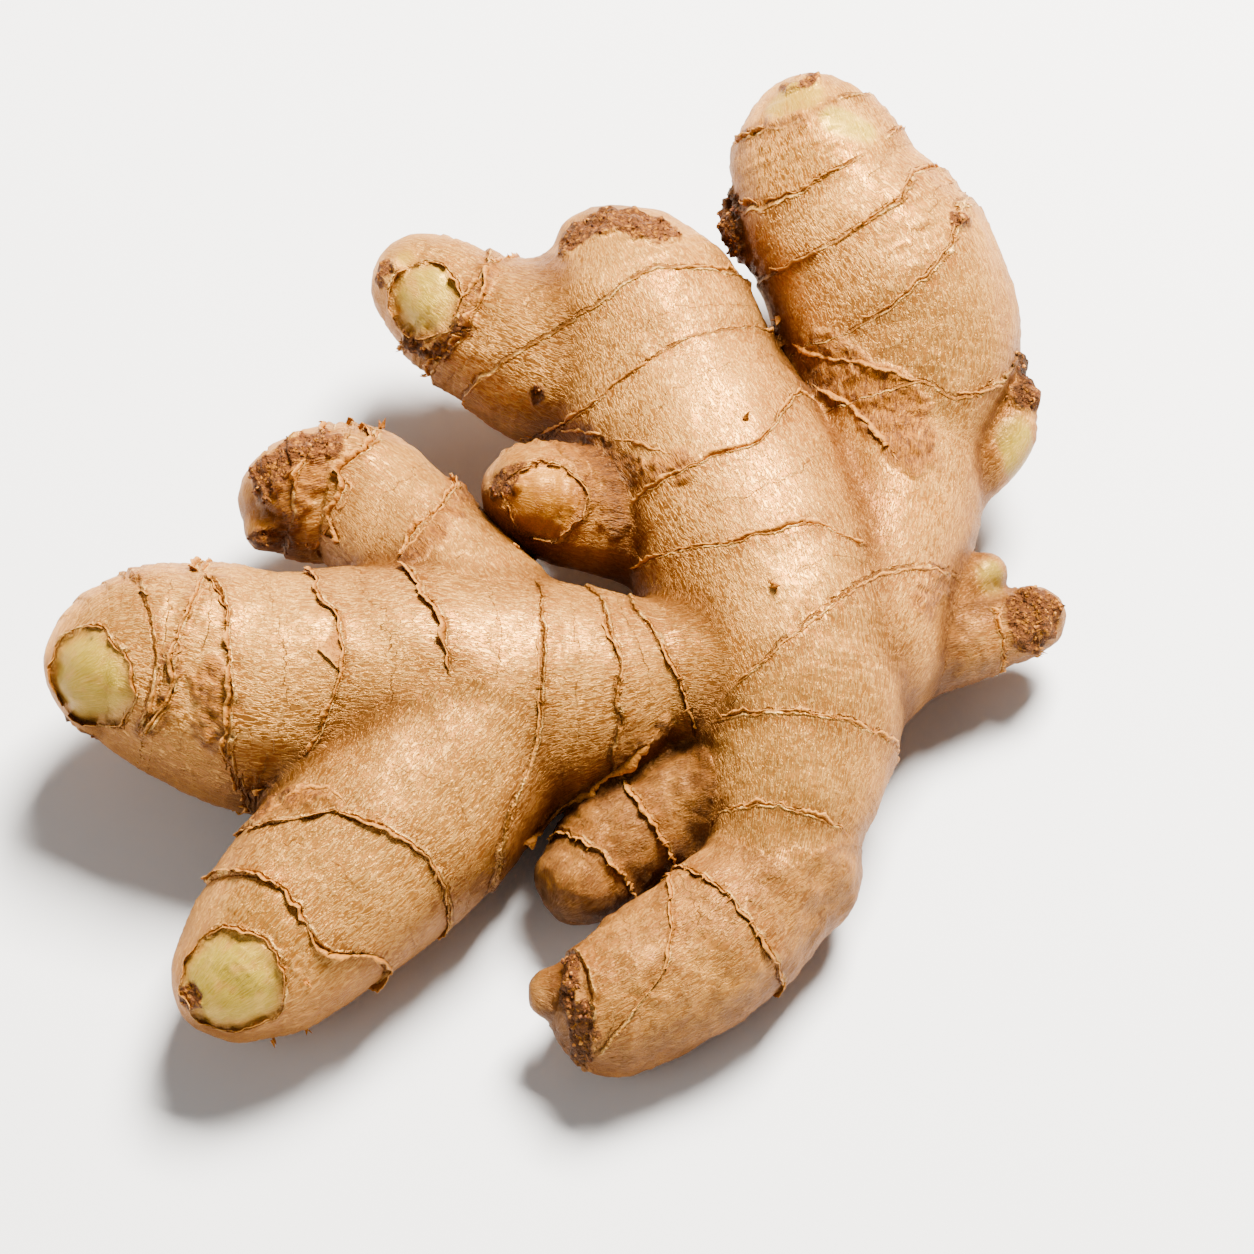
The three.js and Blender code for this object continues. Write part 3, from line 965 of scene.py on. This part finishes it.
# Linear red, green and blue.
CREAM = colour(0.94, 0.54, 0.145)
PALE = colour(0.53, 0.222, 0.034)
ROSY = colour(0.42, 0.163, 0.023)
TAN = colour(0.35, 0.126, 0.013)
ORANGE = colour(0.32, 0.106, 0.010)
BROWN = colour(0.13, 0.036, 0.008)
DARK = colour(0.035, 0.010, 0.004)
GREEN = colour(0.44, 0.33, 0.016)
GREEN_PALE = colour(0.60, 0.41, 0.04)
BUD_EDGE = colour(0.52, 0.24, 0.035)
GOLD = colour(0.40, 0.142, 0.010)
AMBER = colour(0.42, 0.145, 0.004)
AMBER_DEEP = colour(0.28, 0.07, 0.003)
HUSK_PALE = colour(0.58, 0.25, 0.045)
SCAR_SHADE = colour(0.66, 0.54, 0.40)
FOLD_SHADE = colour(0.32, 0.235, 0.17)
FLANK_SHADE = colour(0.40, 0.32, 0.235)
SHEEN = colour(1.0, 0.62, 0.28)


def skin_material():
    """Thin satin skin with fibrous streaks, ragged leaf scars, brown cork and pale green buds."""
    m = Material("ginger skin")
    grain = m.node("ShaderNodeUVMap", {"uv_map": "grain"})
    read = [m.attribute(name) for name in ATTRIBUTES]
    offset, lift, bud_edge, rimmed, amber, cork, flaky, golden, crease, painted_fold_shade, painted_side_shade, age = read
    lift = lift.clamp()

    fibre = m.noise(m.stretch(grain, (820.0, 2700.0, 1.0)), 1.0, 2.0, 0.6, 1.1)
    hair = m.noise(m.stretch(grain, (1500.0, 5600.0, 1.0)), 1.0, 1.0, 0.5, 0.6)
    streak = m.noise(m.stretch(grain, (420.0, 1700.0, 1.0)), 1.0, 2.0, 0.6, 1.2)
    broad = m.noise(m.place, 75.0, 2.0, 0.5)
    blotch = m.noise(m.place, 330.0, 3.0, 0.6)
    mottle = m.noise(m.place, 950.0, 2.0, 0.6)
    speck = m.noise(m.place, 2100.0, 2.0, 0.6)
    wobble = m.noise(m.place, 1500.0, 2.0, 0.6)
    along = m.noise(m.place, 420.0, 2.0, 0.5)
    away = offset + (wobble - 0.5) * 0.7
    rim = bud_edge + (wobble - 0.5) * 0.9
    bud = rim.step(-0.25, 0.45)
    ridge = fibre.step(0.44, 0.6)
    valley = fibre.step(0.47, 0.33)

    base = m.mix(broad.step(0.36, 0.64), PALE, ROSY)
    base = m.mix(blotch.step(0.5, 0.72) * 0.6, base, TAN)
    base = m.mix(mottle.step(0.5, 0.7) * 0.4, base, TAN)
    base = m.mix((age * blotch.step(0.3, 0.6)).clamp() * 0.75, base, BROWN)
    # Golden patches: the skin's own colour round the buds and finger ends, and painted fold shade in
    # the crotch and at the stem's foot.
    base = m.mix(golden * 0.6, base, GOLD)
    papery = away.step(-3.2, -0.2) * away.step(0.25, 0.05) * lift * along.step(0.28, 0.6)
    base = m.mix(papery * 0.85, base, ORANGE)
    # Painted shade: the skin is darkened on both sides of each scar, so each segment is brightest in
    # its middle.
    near_scar = away.hump(-0.2, 4.5) * lift
    base = m.mix(near_scar * 0.5, base, SCAR_SHADE, "MULTIPLY")
    collar = rim.step(-2.2, -0.3) * (1.0 - bud) * rimmed
    base = m.mix(collar * 0.85, base, ORANGE)
    flake = m.mix(streak.step(0.38, 0.5), BROWN, ORANGE)
    flake = m.mix(streak.step(0.5, 0.6), flake, GOLD)
    flake = m.mix(streak.step(0.64, 0.72) * 0.6, flake, CREAM)
    flake = m.mix(speck.step(0.42, 0.32) * 0.7, flake, BROWN)
    base = m.mix(flaky * 0.95, base, flake)
    # Painted highlight on the fibre ridges and painted shade in the fibre valleys.
    base = m.mix((ridge * (0.4 - age * 0.3 - flaky * 0.4)).clamp(), base, CREAM)
    base = m.mix(valley * 0.3, base, BROWN)
    base = m.mix(hair.step(0.54, 0.7) * 0.3, base, ORANGE)

    heart = (bud_edge * (3.4 - rimmed * 2.4)).step(0.0, 2.4) * along.step(0.15, 0.5)
    green = m.mix(blotch.step(0.45, 0.66), GREEN, GREEN_PALE)
    green = m.mix(heart, BUD_EDGE, green)
    ripe = m.mix(blotch.step(0.4, 0.66), AMBER, AMBER_DEEP)
    bud_skin = m.mix(amber, green, ripe)
    # Painted highlight on the bud's fibre ridges and painted shade in its valleys.
    bud_skin = m.mix(ridge * (0.2 - amber * 0.2), bud_skin, CREAM)
    bud_skin = m.mix(valley * 0.3, bud_skin, ORANGE)
    base = m.mix(bud * 0.95, base, bud_skin)
    # Painted shade: a dark ring just inside each rimmed bud's edge, where the bud sinks.
    rim_shade = rim.hump(0.1, 0.5) * along.step(0.36, 0.56) * rimmed
    base = m.mix(rim_shade * 0.5, base, BROWN)

    # Painted shadow: a dark line just past each scar's raised edge.
    shadow = away.hump(0.36, 0.34) * lift * along.step(0.3, 0.5)
    base = m.mix(shadow * 0.55, base, BROWN)
    # The raised edges of scars and bud rims are paler: partly the dry papery edge's own colour, partly
    # a painted highlight on the crest.
    edge = (away.hump(-0.1, 0.42) * lift).larger(rim.hump(-0.35, 0.35) * rimmed)
    base = m.mix(edge * 0.8, base, m.mix(along.step(0.38, 0.58), CREAM, TAN))

    crumb = m.node("ShaderNodeTexVoronoi", {"feature": "F1"}, {"Vector": m.place, "Scale": 1300.0})
    pit = m.noise(m.place, 1600.0, 2.0, 0.65)
    cork_skin = m.mix(crumb.step(0.2, 0.6), GOLD, BROWN)
    cork_skin = m.mix(pit.step(0.46, 0.56), cork_skin, BROWN)
    cork_skin = m.mix(pit.step(0.58, 0.68), cork_skin, DARK)
    base = m.mix(cork.step(0.2, 0.7), base, cork_skin)
    # Painted shade in the folds and creases between fingers.
    base = m.mix((painted_fold_shade + crease * 0.5).clamp() * 0.9, base, FOLD_SHADE, "MULTIPLY")
    # Painted shade on the sides and underside of each finger.
    base = m.mix(painted_side_shade * 0.85, base, FLANK_SHADE, "MULTIPLY")

    calm = 1.0 - bud * 0.6
    grain_height = (ridge * 0.8 + mottle * 0.7) * calm * (1.0 + age * 0.5)
    scar_height = edge * 1.2 - shadow * 0.8 - rim_shade * 0.6
    rough_height = cork * (pit * 1.5 - crumb * 0.7) + flaky * streak * 0.8 + age * blotch * 0.7
    bump = m.bump(grain_height * 0.17 + scar_height * 0.6 + rough_height, 0.0006)
    roughness = 0.4 + age * 0.15 + cork * 0.3 + flaky * 0.1 - bud * 0.08
    satin = (0.5 - age * 0.3) * (1.0 - cork.larger(flaky)).clamp() * (1.0 - bud * 0.6)
    m.set(Base_Color=base, Roughness=roughness, Metallic=satin.clamp(), Normal=bump)
    m.set(Specular_IOR_Level=0.5, Specular_Tint=SHEEN)
    return m.material


def husk_material():
    """Dry papery leaf base: tan and orange, paler at its thin torn edge."""
    m = Material("papery husk")
    torn = m.attribute("torn")
    speck = m.noise(m.place, 1800.0, 2.0, 0.6)
    patch = m.noise(m.place, 420.0, 2.0, 0.5)
    base = m.mix(patch.step(0.35, 0.65), TAN, ORANGE)
    base = m.mix(torn.step(0.2, 1.0) * 0.7, base, HUSK_PALE)
    base = m.mix(speck.step(0.52, 0.68) * 0.7, base, BROWN)
    m.set(Base_Color=base, Roughness=0.55, Normal=m.bump(speck, 0.0003))
    m.set(Specular_IOR_Level=0.35, Specular_Tint=SHEEN)
    return m.material


def crumb_material():
    """Dark crumbs of cork."""
    m = Material("cork crumbs")
    tone = m.noise(m.place, 900.0, 2.0, 0.6)
    pit = m.noise(m.place, 3000.0, 2.0, 0.6)
    base = m.mix(tone.step(0.36, 0.46), DARK, BROWN)
    base = m.mix(tone.step(0.44, 0.54), base, ORANGE)
    base = m.mix(tone.step(0.54, 0.62), base, PALE)
    base = m.mix(pit.step(0.5, 0.38) * 0.6, base, BROWN)
    m.set(Base_Color=base, Roughness=0.8, Normal=m.bump(pit, 0.0002), Specular_IOR_Level=0.25)
    return m.material


def floor_material():
    m = Material("studio floor")
    m.set(Base_Color=colour(0.88, 0.88, 0.88), Roughness=0.9, Specular_IOR_Level=0.1)
    return m.material


class Growth(Nodes):
    """A Geometry Nodes tree that grows loose pieces of one material from a base mesh."""

    def __init__(self, name, measure):
        self.tree = bpy.data.node_groups.new(name, "GeometryNodeTree")
        interface = self.tree.interface
        interface.new_socket("Geometry", in_out="INPUT", socket_type="NodeSocketGeometry")
        interface.new_socket("Geometry", in_out="OUTPUT", socket_type="NodeSocketGeometry")
        self.identifiers = {}
        for label, kind in (("Material", "NodeSocketMaterial"), (measure, "NodeSocketFloat")):
            made = interface.new_socket(label, in_out="INPUT", socket_type=kind)
            self.identifiers[label] = made.identifier
        self.entry = self.tree.nodes.new("NodeGroupInput")

    def input(self, label):
        return Socket(self, self.entry.outputs[label])

    def named(self, name, kind="FLOAT"):
        return self.node("GeometryNodeInputNamedAttribute", {"data_type": kind}, {"Name": name})

    def finish(self, geometry):
        """Realises the instances, gives them the material and hands them out."""
        real = self.node("GeometryNodeRealizeInstances", {}, (geometry,))
        clad = self.node("GeometryNodeSetMaterial", {},
                         {"Geometry": real, "Material": self.input("Material")})
        leave = self.tree.nodes.new("NodeGroupOutput")
        self.join(leave.inputs[0], clad)

    def grow(self, thing, **values):
        modifier = thing.modifiers.new(self.tree.name, "NODES")
        modifier.node_group = self.tree
        for label, value in values.items():
            modifier[self.identifiers[label]] = value
        apply_modifiers(thing)


def thin_sheet(growth, sheet, thickness):
    """A closed thin body from an open sheet of faces."""
    front = growth.node("GeometryNodeExtrudeMesh", {"mode": "FACES"},
                        {"Mesh": sheet, "Offset Scale": thickness, "Individual": False})
    back = growth.node("GeometryNodeFlipFaces", {}, (sheet,))
    both = growth.tree.nodes.new("GeometryNodeJoinGeometry")
    growth.join(both.inputs[0], back)
    growth.join(both.inputs[0], front)
    return growth.node("GeometryNodeMergeByDistance", {},
                       {"Geometry": Socket(growth, both.outputs[0]), "Distance": SEAM_GAP * MM})


def edge_growth():
    """Ribbons along a base mesh of edges: each leans out by its own lean, then curls by its curl."""
    growth = Growth("papery edge", "Thickness")
    sheet = growth.input("Geometry")
    rim = True
    for way, torn in (("lean", 0.5), ("curl", 1.0)):
        offset = growth.named(way, "FLOAT_VECTOR")
        rim = growth.node("GeometryNodeExtrudeMesh", {"mode": "EDGES"},
                          {"Mesh": sheet, "Selection": rim, "Offset": offset}, output="Top")
        sheet = growth.node("GeometryNodeStoreNamedAttribute",
                            {"data_type": "FLOAT", "domain": "POINT"},
                            {"Geometry": rim.other("Mesh"), "Selection": rim, "Name": "torn",
                             "Value": torn})
    growth.finish(thin_sheet(growth, sheet, growth.input("Thickness")))
    return growth


def sheet_growth():
    """Gives an open sheet its thickness."""
    growth = Growth("papery scale", "Thickness")
    growth.finish(thin_sheet(growth, growth.input("Geometry"), growth.input("Thickness")))
    return growth


def crumb_growth():
    """Crumbs scattered where the skin is cork, each turned and sized by chance and knobbly."""
    growth = Growth("cork crumbs", "Density")
    density = growth.named("cork") * growth.input("Density")
    scatter = growth.node("GeometryNodeDistributePointsOnFaces", {},
                          {"Mesh": growth.input("Geometry"), "Density": density, "Seed": 5})
    ball = growth.node("GeometryNodeMeshIcoSphere", {},
                       {"Radius": CRUMB_RADIUS * MM, "Subdivisions": 2})
    turn = growth.node("FunctionNodeRandomValue", {"data_type": "FLOAT_VECTOR"},
                       {"Min": (0, 0, 0), "Max": (6.28, 6.28, 6.28), "Seed": 3})
    size = growth.node("FunctionNodeRandomValue", {"data_type": "FLOAT_VECTOR"},
                       {"Min": (0.3, 0.3, 0.2), "Max": (1.7, 1.3, 0.8), "Seed": 9})
    crumbs = growth.node("GeometryNodeInstanceOnPoints", {},
                         {"Points": scatter, "Instance": ball, "Rotation": turn, "Scale": size})
    real = growth.node("GeometryNodeRealizeInstances", {}, (crumbs,))
    knob = growth.node("ShaderNodeTexNoise", {}, {"Scale": 1500.0, "Detail": 1.0}, output="Color")
    centred = growth.node("ShaderNodeVectorMath", {"operation": "SUBTRACT"}, (knob, (0.5, 0.5, 0.5)))
    push = growth.node("ShaderNodeVectorMath", {"operation": "SCALE"}, {0: centred, "Scale": 0.0005})
    growth.finish(growth.node("GeometryNodeSetPosition", {}, {"Geometry": real, "Offset": push}))
    return growth


def shred_growth():
    """Thin pointed shreds: one at each base point, along its own direction and of its own size."""
    growth = Growth("husk shreds", "Width")
    spike = growth.node("GeometryNodeMeshCone", {"fill_type": "TRIANGLE_FAN"},
                        {"Vertices": 5, "Side Segments": 3, "Radius Top": 0.00002,
                         "Radius Bottom": growth.input("Width"), "Depth": 0.001})
    turn = growth.node("FunctionNodeAlignRotationToVector", {"axis": "Z"},
                       {"Vector": growth.named("lean", "FLOAT_VECTOR")})
    shreds = growth.node("GeometryNodeInstanceOnPoints", {},
                         {"Points": growth.input("Geometry"), "Instance": spike, "Rotation": turn,
                          "Scale": growth.named("size", "FLOAT_VECTOR")})
    growth.finish(shreds)
    return growth


class Surface:
    """The finished skin, on which the loose pieces are set."""

    def __init__(self, thing):
        mesh = thing.data
        faces = [tuple(face.vertices) for face in mesh.polygons]
        self.tree = BVHTree.FromPolygons([vertex.co.copy() for vertex in mesh.vertices], faces)

    def nearest(self, points):
        hits = [self.tree.find_nearest(Vector(point * MM))[0] for point in points]
        return np.array([tuple(hit) for hit in hits]) / MM

    def outward(self, starts, ways):
        """The first points of the skin that lie along these ways out, and which of them were met."""
        found = np.zeros(len(starts), bool)
        points = starts.copy()
        for i, (start, way) in enumerate(zip(starts, ways)):
            hit = self.tree.ray_cast(Vector(start * MM), Vector(way))[0]
            if hit is not None:
                points[i] = np.array(tuple(hit)) / MM
                found[i] = True
        return points, found


class Ribbon:
    """Collects edge chains with the lean and curl of the papery edge on each."""

    def __init__(self):
        self.points = []
        self.edges = []
        self.lean = []
        self.curl = []
        self.count = 0

    def add(self, points, lean, curl, joined):
        start = self.count
        self.points.append(points)
        self.lean.append(lean)
        self.curl.append(curl)
        joined = joined & (np.linalg.norm(np.diff(points, axis=0), axis=1) < EDGE_GAP)
        self.edges += [(start + i, start + i + 1) for i in np.flatnonzero(joined)]
        self.count += len(points)

    def build(self, name):
        thing = new_object(name, np.vstack(self.points), edges=self.edges)
        store(thing.data, "lean", np.vstack(self.lean) * MM, "FLOAT_VECTOR")
        store(thing.data, "curl", np.vstack(self.curl) * MM, "FLOAT_VECTOR")
        store(thing.data, "torn", np.zeros(self.count))
        return thing


def add_scar_edges(ribbon, surface):
    """A thin ragged edge along each leaf scar, leaning towards the finger's tip."""
    for seed, scar in enumerate(scars):
        finger = fingers[scar.owner]
        count = int(2 * math.pi * finger.radius.max() / EDGE_STEP)
        angle = np.linspace(-math.pi, math.pi, count)
        arc = scar.crossing(angle)
        centre = finger.interpolate(finger.centre, arc)
        tipward = unit(finger.interpolate(finger.along, arc))
        points, found = surface.outward(centre, finger.spoke(angle, arc))
        skin = measure_skin(points)
        good = found & (skin["lift"] > 0.35) & (np.abs(skin["offset"]) < 0.7)
        good &= (skin["cork"] < 0.5) & (points[:, 2] > CLEAR_OF_FLOOR)
        out = way_out(points)
        ragged = 1 + 0.6 * noise(points, 0.55, seed) + 0.8 * noise(points, 2.6, seed + 9)
        height = EDGE_HEIGHT * scar.lift * ragged
        height = np.maximum(height, 0.06) * smooth(0.35, 0.8, skin["lift"])
        lean = (0.75 * out + 0.55 * tipward) * height[:, None]
        tilt = 0.8 + 0.5 * noise(points, 1.1, seed + 20)
        curl = (0.25 * out + tilt[:, None] * tipward) * (0.7 * height)[:, None]
        ribbon.add(points - EDGE_FOOT * out, lean, curl, good[:-1] & good[1:])


def add_line_edges(ribbon, surface):
    """The wider papery edges that follow lines of their own."""
    for seed, facts in enumerate(EDGES.values()):
        path = on_skin(facts["seen"])
        knots = lengths(path)
        count = int(knots[-1] / EDGE_STEP)
        even = np.interp(np.linspace(0, knots[-1], count), knots, np.arange(len(path)))
        path = surface.nearest(catmull_rom(path, even))
        out = way_out(path)
        along = unit(np.gradient(path, axis=0))
        side = np.cross(out, along) * facts["lean"]
        wave = 0.35 * noise(path, 1.2, seed + 40)
        path = surface.nearest(path + side * wave[:, None])
        ends = np.minimum(np.arange(count), np.arange(count)[::-1]) / 8
        ragged = 0.55 + 0.3 * noise(path, 0.6, seed + 41) + 0.4 * noise(path, 2.2, seed + 42)
        height = np.maximum(facts["size"] * ragged, 0.1) * np.clip(ends, 0.15, 1)
        lean = (0.6 * out + 0.5 * side) * height[:, None]
        curl = (0.1 * out + 0.7 * side) * height[:, None]
        ribbon.add(path - EDGE_FOOT * out, lean, curl, np.ones(count - 1, bool))


def add_bud_collars(ribbon, surface):
    """A torn collar round each bud, leaning in over it."""
    for seed, facts in enumerate(BUDS.values()):
        if facts.get("soft"):
            continue
        line = on_skin(facts["seen"])
        centre = line.mean(axis=0)
        axis = way_out(centre[None])[0]
        one = unit(np.cross(axis, (0.3, 0.9, 0.2)))
        two = np.cross(axis, one)
        count = int(2 * math.pi * facts["radius"] / EDGE_STEP)
        turn = np.linspace(0, 2 * math.pi, count + 1)[:-1]
        spread = facts["radius"] + 0.15
        ring = centre + spread * (np.cos(turn)[:, None] * one + np.sin(turn)[:, None] * two)
        ring = surface.nearest(ring)
        for _ in range(3):
            gap = bud_depth(ring, facts, bud_raggedness(ring))
            outward = unit(ring - centre)
            ring = surface.nearest(ring + outward * (gap + 0.1)[:, None])
        out = way_out(ring)
        inward = unit(centre - ring)
        inward = unit(inward - out * (inward * out).sum(1)[:, None])
        ragged = 1 + 0.7 * noise(ring, 0.6, seed + 60) + 1.1 * noise(ring, 3.0, seed + 61)
        height = np.maximum(EDGE_HEIGHT * ragged, 0.05)
        lean = (0.85 * out + 0.25 * inward) * height[:, None]
        curl = (0.3 * out + 0.7 * inward) * (0.6 * height)[:, None]
        closed = np.concatenate([np.arange(count), [0]])
        good = ring[closed, 2] > CLEAR_OF_FLOOR
        ribbon.add((ring - EDGE_FOOT * out)[closed], lean[closed], curl[closed], good[:-1] & good[1:])


def build_edges(surface, material):
    ribbon = Ribbon()
    add_scar_edges(ribbon, surface)
    add_line_edges(ribbon, surface)
    add_bud_collars(ribbon, surface)
    thing = ribbon.build("papery_edges")
    edge_growth().grow(thing, Material=material, Thickness=EDGE_THICKNESS * MM)
    return thing


def build_scales(surface, material):
    """The larger loose scales: a sheet from each held line to its free line, where it lifts."""
    points = []
    faces = []
    torn = []
    for seed, facts in enumerate(SCALES.values()):
        held = on_skin(facts["held"])
        free = on_skin(facts["free"])
        columns = max(12, int(lengths(held)[-1] / SCALE_STEP))
        held = resample(held, columns)
        free = resample(free, columns)
        ragged = 1 + facts["ragged"] * (noise(free, 0.8, seed + 70) + noise(free, 2.4, seed + 71))
        start = sum(len(block) for block in points)
        for row in range(SCALE_ROWS):
            share = row / (SCALE_ROWS - 1)
            line = held + (free - held) * (share * np.maximum(ragged, 0.15))[:, None]
            line = surface.nearest(line)
            out = way_out(line)
            wave = 0.25 * share * noise(line, 1.8, seed + 72)
            rise = 0.08 + facts["lift"] * share**1.6 + wave
            points.append(line + out * np.maximum(rise, 0.06)[:, None])
            torn.append(np.full(columns, share**3))
        for row, column in itertools.product(range(SCALE_ROWS - 1), range(columns - 1)):
            here = start + row * columns + column
            faces.append((here, here + 1, here + columns + 1, here + columns))
    thing = new_object("papery_scales", np.vstack(points), faces=faces)
    store(thing.data, "torn", np.concatenate(torn))
    turn_outward(thing.data)
    sheet_growth().grow(thing, Material=material, Thickness=SCALE_THICKNESS * MM)
    return thing


def turn_outward(mesh):
    """Turns each sheet so that its faces look away from the root."""
    centres = np.array([tuple(face.center) for face in mesh.polygons]) / MM
    normals = np.array([tuple(face.normal) for face in mesh.polygons])
    out = way_out(centres)
    for face, wrong in zip(mesh.polygons, (normals * out).sum(1) < 0):
        if wrong:
            face.flip()
    mesh.update()


def build_shreds(surface, material):
    """Small pointed shreds along the scars and bigger ones at the places that stand out."""
    chance = np.random.default_rng(SHRED_SEED)
    places = []
    ways = []
    sizes = []
    for scar in scars:
        finger = fingers[scar.owner]
        angle = chance.uniform(-math.pi, math.pi, SHREDS_A_SCAR)
        arc = scar.crossing(angle)
        centre = finger.interpolate(finger.centre, arc)
        points, found = surface.outward(centre, finger.spoke(angle, arc))
        skin = measure_skin(points)
        out = way_out(points)
        tipward = finger.interpolate(finger.along, arc)
        good = found & (skin["lift"] > 0.6) & (np.abs(skin["offset"]) < 0.6)
        good &= points[:, 2] > SHRED_CLEAR_OF_FLOOR
        spread = chance.uniform(-0.6, 0.6, (len(points), 3))
        places.append(points[good])
        ways.append(unit(0.35 * out + tipward + spread)[good])
        long = chance.uniform(0.5, 1.3, good.sum())
        wide = chance.uniform(0.5, 1.1, good.sum())
        thick = chance.uniform(0.35, 0.6, good.sum())
        sizes.append(np.stack([wide, thick, long], axis=1))
    for facts in TAGS.values():
        point = surface.nearest(on_skin(facts["seen"]))
        out = way_out(point)
        places.append(point + chance.uniform(-0.3, 0.3, TUFT.shape))
        ways.append(unit(out + chance.uniform(-0.7, 0.7, TUFT.shape)))
        sizes.append(facts["size"] * TUFT)
    base = new_object("husk_shreds", np.vstack(places))
    store(base.data, "lean", np.vstack(ways), "FLOAT_VECTOR")
    store(base.data, "size", np.vstack(sizes), "FLOAT_VECTOR")
    shred_growth().grow(base, Material=material, Width=SHRED_WIDTH * MM)
    return base


def build_crumbs(skin_thing, material):
    base = put_in_scene("cork_crumbs", skin_thing.data.copy())
    base.data.materials.clear()
    crumb_growth().grow(base, Material=material, Density=CRUMB_DENSITY)
    return base


def make_camera():
    """A long lens at the height from which the root was laid out."""
    lens = bpy.data.cameras.new("camera")
    lens.sensor_width = FILM_WIDTH
    lens.lens = FILM_WIDTH * VIEW_DISTANCE / VIEW_WIDTH
    lens.clip_start = 0.01
    camera = put_in_scene("camera", lens)
    camera.location = (EYE - MIDDLE) * MM
    camera.rotation_euler = (math.pi / 2 - VIEW_ELEVATION, 0, 0)
    bpy.context.scene.camera = camera


def area_light(name, where, size, power, tint):
    """A square light that shines on the root."""
    light = bpy.data.lights.new(name, "AREA")
    light.size = size
    light.energy = power
    light.color = tint
    lamp = put_in_scene(name, light)
    lamp.location = where
    direction = AIM * MM - np.array(where)
    yaw = math.atan2(direction[1], direction[0])
    pitch = math.atan2(math.hypot(direction[0], direction[1]), -direction[2])
    lamp.rotation_euler = (pitch, 0, yaw - math.pi / 2)


def make_stage():
    """A white floor, a broad light above and behind, and a soft fill from the front."""
    reach = 3000.0
    corners = [(-reach, -reach, 0), (reach, -reach, 0), (reach, reach, 0), (-reach, reach, 0)]
    floor = new_object("floor", corners, faces=[(0, 1, 2, 3)])
    floor.data.materials.append(floor_material())
    area_light("key", where=(0.22, 0.40, 0.76), size=0.34, power=56.0, tint=(1.0, 0.96, 0.90))
    area_light("fill", where=(-0.6, -0.5, 0.7), size=0.6, power=2.0, tint=(1.0, 0.98, 0.96))
    world = bpy.data.worlds.new("studio")
    world.use_nodes = True
    sky = world.node_tree.nodes["Background"]
    sky.inputs["Color"].default_value = (1.0, 1.0, 1.0, 1.0)
    sky.inputs["Strength"].default_value = 0.2
    bpy.context.scene.world = world


fingers = {name: Finger(facts["stations"]) for name, facts in FINGERS.items()}
ALL_PLACES = [tuple(where) for where in every_place()]
ON_SKIN = dict(zip(ALL_PLACES, cast(ALL_PLACES)))
scars = [
    Scar(name, facts, seed)
    for seed, (name, facts) in enumerate(
        (name, facts) for name, finger in FINGERS.items() for facts in finger.get("scars", [])
    )
]

make_camera()
make_stage()
skin_piece = make_skin()
skin_piece.data.materials.clear()
skin_piece.data.materials.append(skin_material())
surface = Surface(skin_piece)
husk = husk_material()
pieces = [
    skin_piece,
    build_edges(surface, husk),
    build_scales(surface, husk),
    build_shreds(surface, husk),
    build_crumbs(skin_piece, crumb_material()),
]
for piece in pieces:
    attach(piece, "root")
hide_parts("ginger_root")
